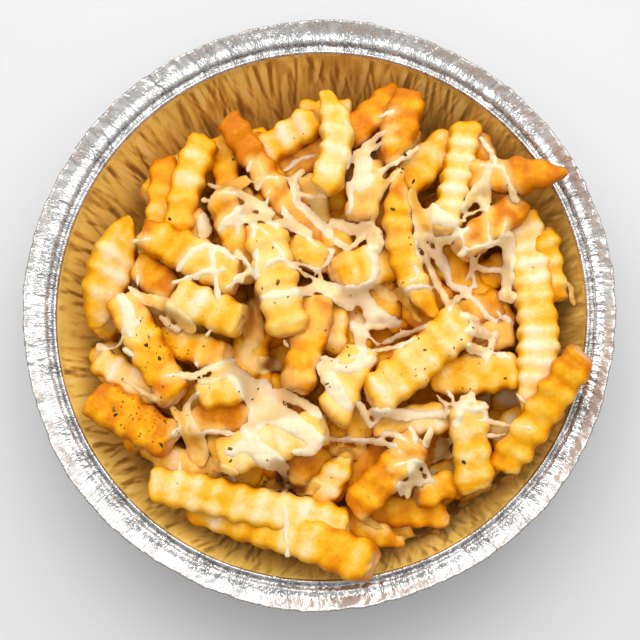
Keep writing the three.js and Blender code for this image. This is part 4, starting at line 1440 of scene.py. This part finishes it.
def painted_side_dullness(tree):
    """How far the lining loses its mirror shine, as painted light by side: the band on the far side, the
    flange on the near side.
    """
    climb = value_of(tree, "climb")
    far = between(value_of(tree, "ring_y"), -50.0, 60.0)
    band = times(between(climb, LEDGE_RUN[1], LEDGE_RUN[1] + 0.6), BAND_DULL)
    flange = times(between(climb, FLANGE_START, FLANGE_START + 0.8), less(1.0, far))
    dull = plus(times(band, far), times(flange, FLANGE_DULL))
    return times(dull, value_of(tree, "lining"))


def foil_material():
    """Aluminium foil: bright, with painted shade on the ledge and in the kinks of the rim, and a painted
    reflection of the fries, gold, inside the wall.
    """
    material, tree, shader = new_material("pressed_foil")
    place = object_place(tree)
    climb = value_of(tree, "climb")
    height, kinks = foil_relief(tree, noise_of(place, 900.0, 4.0))
    painted_reflection, reflection_streaks = painted_wall_reflection(tree)
    # Where the inside of the wall carries the painted reflection
    painted_wall = times(between(climb, WALL_END + 0.45, WALL_END), value_of(tree, "lining"))

    ledge_from = between(climb, LEDGE_RUN[0] - 0.3, LEDGE_RUN[0] + 0.2)
    ledge_to = between(climb, LEDGE_RUN[1] + 0.2, LEDGE_RUN[1] - 0.4)
    # Painted shade on the ledge, in patches
    ledge_shade_patches = between(noise_of(unrolled(tree, 0.3), 0.5, 2.0), 0.4, 0.55)
    colour = mixed(times(times(ledge_from, ledge_to), ledge_shade_patches), BRIGHT_FOIL, LEDGE_PAINTED_SHADE)
    # Painted shade in the rim's kinks
    colour = mixed(times(kinks, 0.9), colour, KINK_PAINTED_SHADE)
    colour = mixed(between(climb, FLANGE_START, FLANGE_START + 0.8), colour, FLANGE_FOIL)
    colour = mixed(between(climb, EDGE_START, EDGE_START + 0.4), colour, EDGE_FOIL)

    # The painted reflection is partly matt, from its brown to its gold, and the sides lose shine as painted
    # light
    matt = line_of(reflection_streaks, REFLECTION_PAINT_MATT[1] - REFLECTION_PAINT_MATT[0], REFLECTION_PAINT_MATT[0])
    matt = plus(times(matt, painted_wall), painted_side_dullness(tree))
    rough = line_of(noise_of(place, 110.0, 3.0), 0.16, 0.06)
    bump = node_of(tree, "ShaderNodeBump", {"Height": height, "Strength": 0.7, "Distance": 0.0006})
    feed(shader, {
        "Base Color": mixed(painted_wall, colour, painted_reflection),
        "Metallic": less(1.0, matt),
        "Roughness": plus(rough, times(painted_wall, WALL_BLUR)),
        "Normal": bump.outputs[0],
        # Sheen tinted with the gold of the painted reflection
        "Sheen Weight": painted_wall,
        "Sheen Roughness": 0.45,
        "Sheen Tint": REFLECTION_PAINT_GOLD,
    })
    return material


def food_skin_group():
    """Node group of the fries and the cheese: coarse mottling, fine grain, and the relief of the two."""
    group = bpy.data.node_groups.new("food_skin", "ShaderNodeTree")
    numbers = ["Mottle Height", "Strength", "Distance"]
    for part in ("Mottle", "Grain"):
        numbers += [part + " Scale", part + " Detail", part + " Roughness"]
    group.interface.new_socket("Place", in_out="INPUT", socket_type="NodeSocketVector")
    for name in numbers:
        group.interface.new_socket(name, in_out="INPUT", socket_type="NodeSocketFloat")
    for name in ("Mottle", "Grain"):
        group.interface.new_socket(name, in_out="OUTPUT", socket_type="NodeSocketFloat")
    group.interface.new_socket("Normal", in_out="OUTPUT", socket_type="NodeSocketVector")

    given = group.nodes.new("NodeGroupInput").outputs
    patterns = {}
    for part in ("Mottle", "Grain"):
        inputs = {key: given[part + " " + key] for key in ("Scale", "Detail", "Roughness")}
        inputs["Vector"] = given["Place"]
        patterns[part] = node_of(group, "ShaderNodeTexNoise", inputs).outputs["Fac"]
    height = plus(patterns["Grain"], times(patterns["Mottle"], given["Mottle Height"]))
    bump = node_of(group, "ShaderNodeBump", {
        "Height": height, "Strength": given["Strength"], "Distance": given["Distance"],
    })
    node_of(group, "NodeGroupOutput", {**patterns, "Normal": bump.outputs[0]})
    return group


def fried_material(skin):
    """Fried potato: a colour by tone, with painted shade in the furrows and painted light on the crests,
    browner at the ends, browner on the flanks partly from frying and partly as painted shade, with mottling
    and oil.
    """
    material, tree, shader = new_material("fried_potato")
    keys = ("tone", "crest", "flank", "near_end", "bare_end", "cheesy")
    tone, crest, flank, near_end, bare_end, cheesy = [value_of(tree, key) for key in keys]
    surface = node_of(tree, "ShaderNodeGroup", {
        "Place": object_place(tree), "Mottle Height": 1.0, "Strength": 0.5, "Distance": 0.0005,
        "Mottle Scale": 190.0, "Mottle Detail": 6.0, "Mottle Roughness": 0.65,
        "Grain Scale": 900.0, "Grain Detail": 5.0, "Grain Roughness": 0.7,
    }, node_tree=skin).outputs

    uneven = line_of(tone, 0.65, 0.45)
    brown = less(times(line_of(surface["Mottle"], 1.65, -0.825), uneven), 0.26)
    level = plus(tone, brown)
    # Flanks browner partly from frying and partly as painted shade, ends browner from frying, crests painted
    # lighter and furrows painted darker, and fine grain
    for part in (times(flank, 0.3), times(near_end, 0.28), line_of(crest, -0.18, 0.08),
                 line_of(surface["Grain"], 0.3, 0.5)):
        level = plus(level, part)
    colour = ramp_of(times(level, 0.8, clamp=True), FRIED_COLOURS)
    colour = mixed(times(bare_end, 0.35), colour, rgb(*BARE_POTATO))
    feed(shader, {
        "Base Color": mixed(times(cheesy, 0.65), colour, rgb(*CHEESE_FILM)),
        "Roughness": line_of(surface["Mottle"], 0.35, 0.25),
        "Normal": surface["Normal"],
        "Specular IOR Level": 0.14,
        "Subsurface Weight": 0.12,
        "Subsurface Radius": (1.0, 0.65, 0.35),
        "Subsurface Scale": 0.002,
        "Coat Weight": 0.04,
        "Coat Roughness": 0.3,
    })
    return material


def cheese_material(skin):
    """Melted cheese: glossy cream, tan where it is thin, and tan as painted shade where it hangs free over a
    gap.
    """
    material, tree, shader = new_material("melted_cheese")
    surface = node_of(tree, "ShaderNodeGroup", {
        "Place": object_place(tree), "Mottle Height": 0.0, "Strength": 0.2, "Distance": 0.0003,
        "Mottle Scale": 220.0, "Mottle Detail": 4.0, "Mottle Roughness": 0.5,
        "Grain Scale": 700.0, "Grain Detail": 3.0, "Grain Roughness": 0.5,
    }, node_tree=skin).outputs
    level = plus(line_of(surface["Mottle"], 0.5, -0.25), value_of(tree, "tan"), clamp=True)
    feed(shader, {
        "Base Color": ramp_of(level, CHEESE_COLOURS),
        "Roughness": 0.5,
        "Normal": surface["Normal"],
        "Specular IOR Level": 0.25,
        "Subsurface Weight": 0.3,
        "Subsurface Radius": (1.0, 0.6, 0.35),
        "Subsurface Scale": 0.003,
    })
    return material


def herb_material():
    """Dried herbs from olive green to brown-black."""
    material, tree, shader = new_material("dried_herbs")
    feed(shader, {"Base Color": ramp_of(value_of(tree, "shade"), HERB_COLOURS), "Roughness": 0.7})
    return material


def area_light(name, place, size, watts):
    """A soft white light at a place in metres, turned towards the pan."""
    lamp = bpy.data.lights.new(name, "AREA")
    lamp.shape = "RECTANGLE"
    lamp.size, lamp.size_y = size
    lamp.energy = watts
    holder = bpy.data.objects.new(name, lamp)
    holder.location = place
    heading = Vector(LIGHTS_AIM) - Vector(place)
    holder.rotation_euler = heading.to_track_quat("-Z", "Y").to_euler()
    bpy.context.collection.objects.link(holder)
    return holder


def pale_floor():
    """A near-white tabletop under the pan."""
    mesh = bpy.data.meshes.new("tabletop")
    half = TABLETOP_HALF
    corners = [(-half, -half, 0), (half, -half, 0), (half, half, 0), (-half, half, 0)]
    mesh.from_pydata(corners, [], [(0, 1, 2, 3)])
    floor = bpy.data.objects.new("tabletop", mesh)
    floor.location.z = -TABLETOP_DROP
    bpy.context.collection.objects.link(floor)
    material, _, shader = new_material("tabletop_white")
    feed(shader, {"Base Color": rgb(*TABLETOP_COLOUR), "Roughness": 0.6})
    mesh.materials.append(material)


def studio_camera():
    """The camera at the photograph's angle, the picture's top turned to the table's +Y."""
    azimuth, elevation = math.radians(CAMERA_AZIMUTH), math.radians(CAMERA_ELEVATION)
    flat = math.cos(elevation)
    offset = Vector((math.sin(azimuth) * flat, -math.cos(azimuth) * flat, math.sin(elevation)))
    back = offset.normalized()
    right = Vector((0, 1, 0)).cross(back).normalized()
    up = back.cross(right)
    data = bpy.data.cameras.new("photo_camera")
    data.sensor_width = SENSOR_WIDTH
    data.lens = FOCAL_PIXELS * SENSOR_WIDTH / IMAGE_SIDE
    camera = bpy.data.objects.new("photo_camera", data)
    turn = Matrix((right, up, back)).transposed().to_4x4()
    place = (Vector(AIM_AT) + back * CAMERA_DISTANCE) * MM
    camera.matrix_world = Matrix.Translation(place) @ turn
    bpy.context.collection.objects.link(camera)
    bpy.context.scene.camera = camera


def studio_lights():
    """A large softbox beyond the far side, one straight above that nothing mirrors, and a pale room."""
    area_light("top_softbox", place=(0.0, 0.63, 0.9), size=(1.2, 1.1), watts=9.0)
    overhead = area_light("overhead_softbox", place=(0.0, 0.0, 1.2), size=(1.5, 1.5), watts=10.5)
    overhead.visible_glossy = False
    world = bpy.data.worlds.new("pale_room")
    world.use_nodes = True
    tree = world.node_tree
    heading = node_of(tree, "ShaderNodeTexCoord").outputs["Generated"]
    lean = node_of(tree, "ShaderNodeVectorMath", {0: heading, 1: ROOM_LEAN}, operation="DOT_PRODUCT")
    level = plus(lean.outputs["Value"], ROOM_LEVEL, clamp=True)
    feed(tree.nodes["Background"], {"Color": (1.0, 1.0, 1.0, 1.0), "Strength": level})
    bpy.context.scene.world = world
    bpy.context.scene.view_settings.view_transform = "Standard"


def fry_surfaces(undersides):
    """The showing fries, layer by layer, the bed under them, those along the wall and the hidden core."""
    rng = np.random.default_rng(FRIES_SEED)
    surfaces = {}
    for name, layer in (("fries_low", LOW), ("fries_second", SECOND), ("fries_upper", UPPER)):
        surfaces[name] = joined([fry_surface(one, rng) for one in layer])
    bed = [fry_surface(one, rng) for one in bed_fries(rng)]
    surfaces["fries_bed"] = joined(bed[:BED_SPLIT])
    surfaces["fries_bed_low"] = joined([core_surface()] + bed[BED_SPLIT:])
    surfaces["fries_by_wall"] = joined([fry_surface(one, rng) for one in wall_fries(undersides, rng)])
    return surfaces


def build_pan():
    """Makes the foil pan."""
    pan = make_mesh("foil_skin", *foil_surface(np.random.default_rng(FOIL_SEED)), foil_material(), "foil")
    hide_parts("foil_pan")


def build_heap():
    """Makes the fries with their film of cheese, the melted cheese over them and the herbs on top."""
    rng = np.random.default_rng(CHEESE_SEED)
    surfaces = fry_surfaces(lay_fries())
    heights = height_map(surfaces.values())
    fields = cheese_fields(rng)
    skin = food_skin_group()
    material = fried_material(skin)
    for name, (points, faces, values) in surfaces.items():
        values["cheesy"] = np.maximum(values["cheesy"], film_on(points, fields[-1], heights))
        piece = make_mesh(name, points, faces, values, material, "fried")
        if name == "fries_upper":
            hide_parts("fries_heap")
    points, faces, values, border, melted = cheese_surface(heights, fields, rng)
    make_mesh("melted_cheese", points, faces, values, cheese_material(skin), "fried", border)
    make_mesh("herb_flecks", *herb_flecks(melted, np.random.default_rng(HERB_SEED)), herb_material(), "fried")


build_pan()
build_heap()
pale_floor()
studio_lights()
studio_camera()
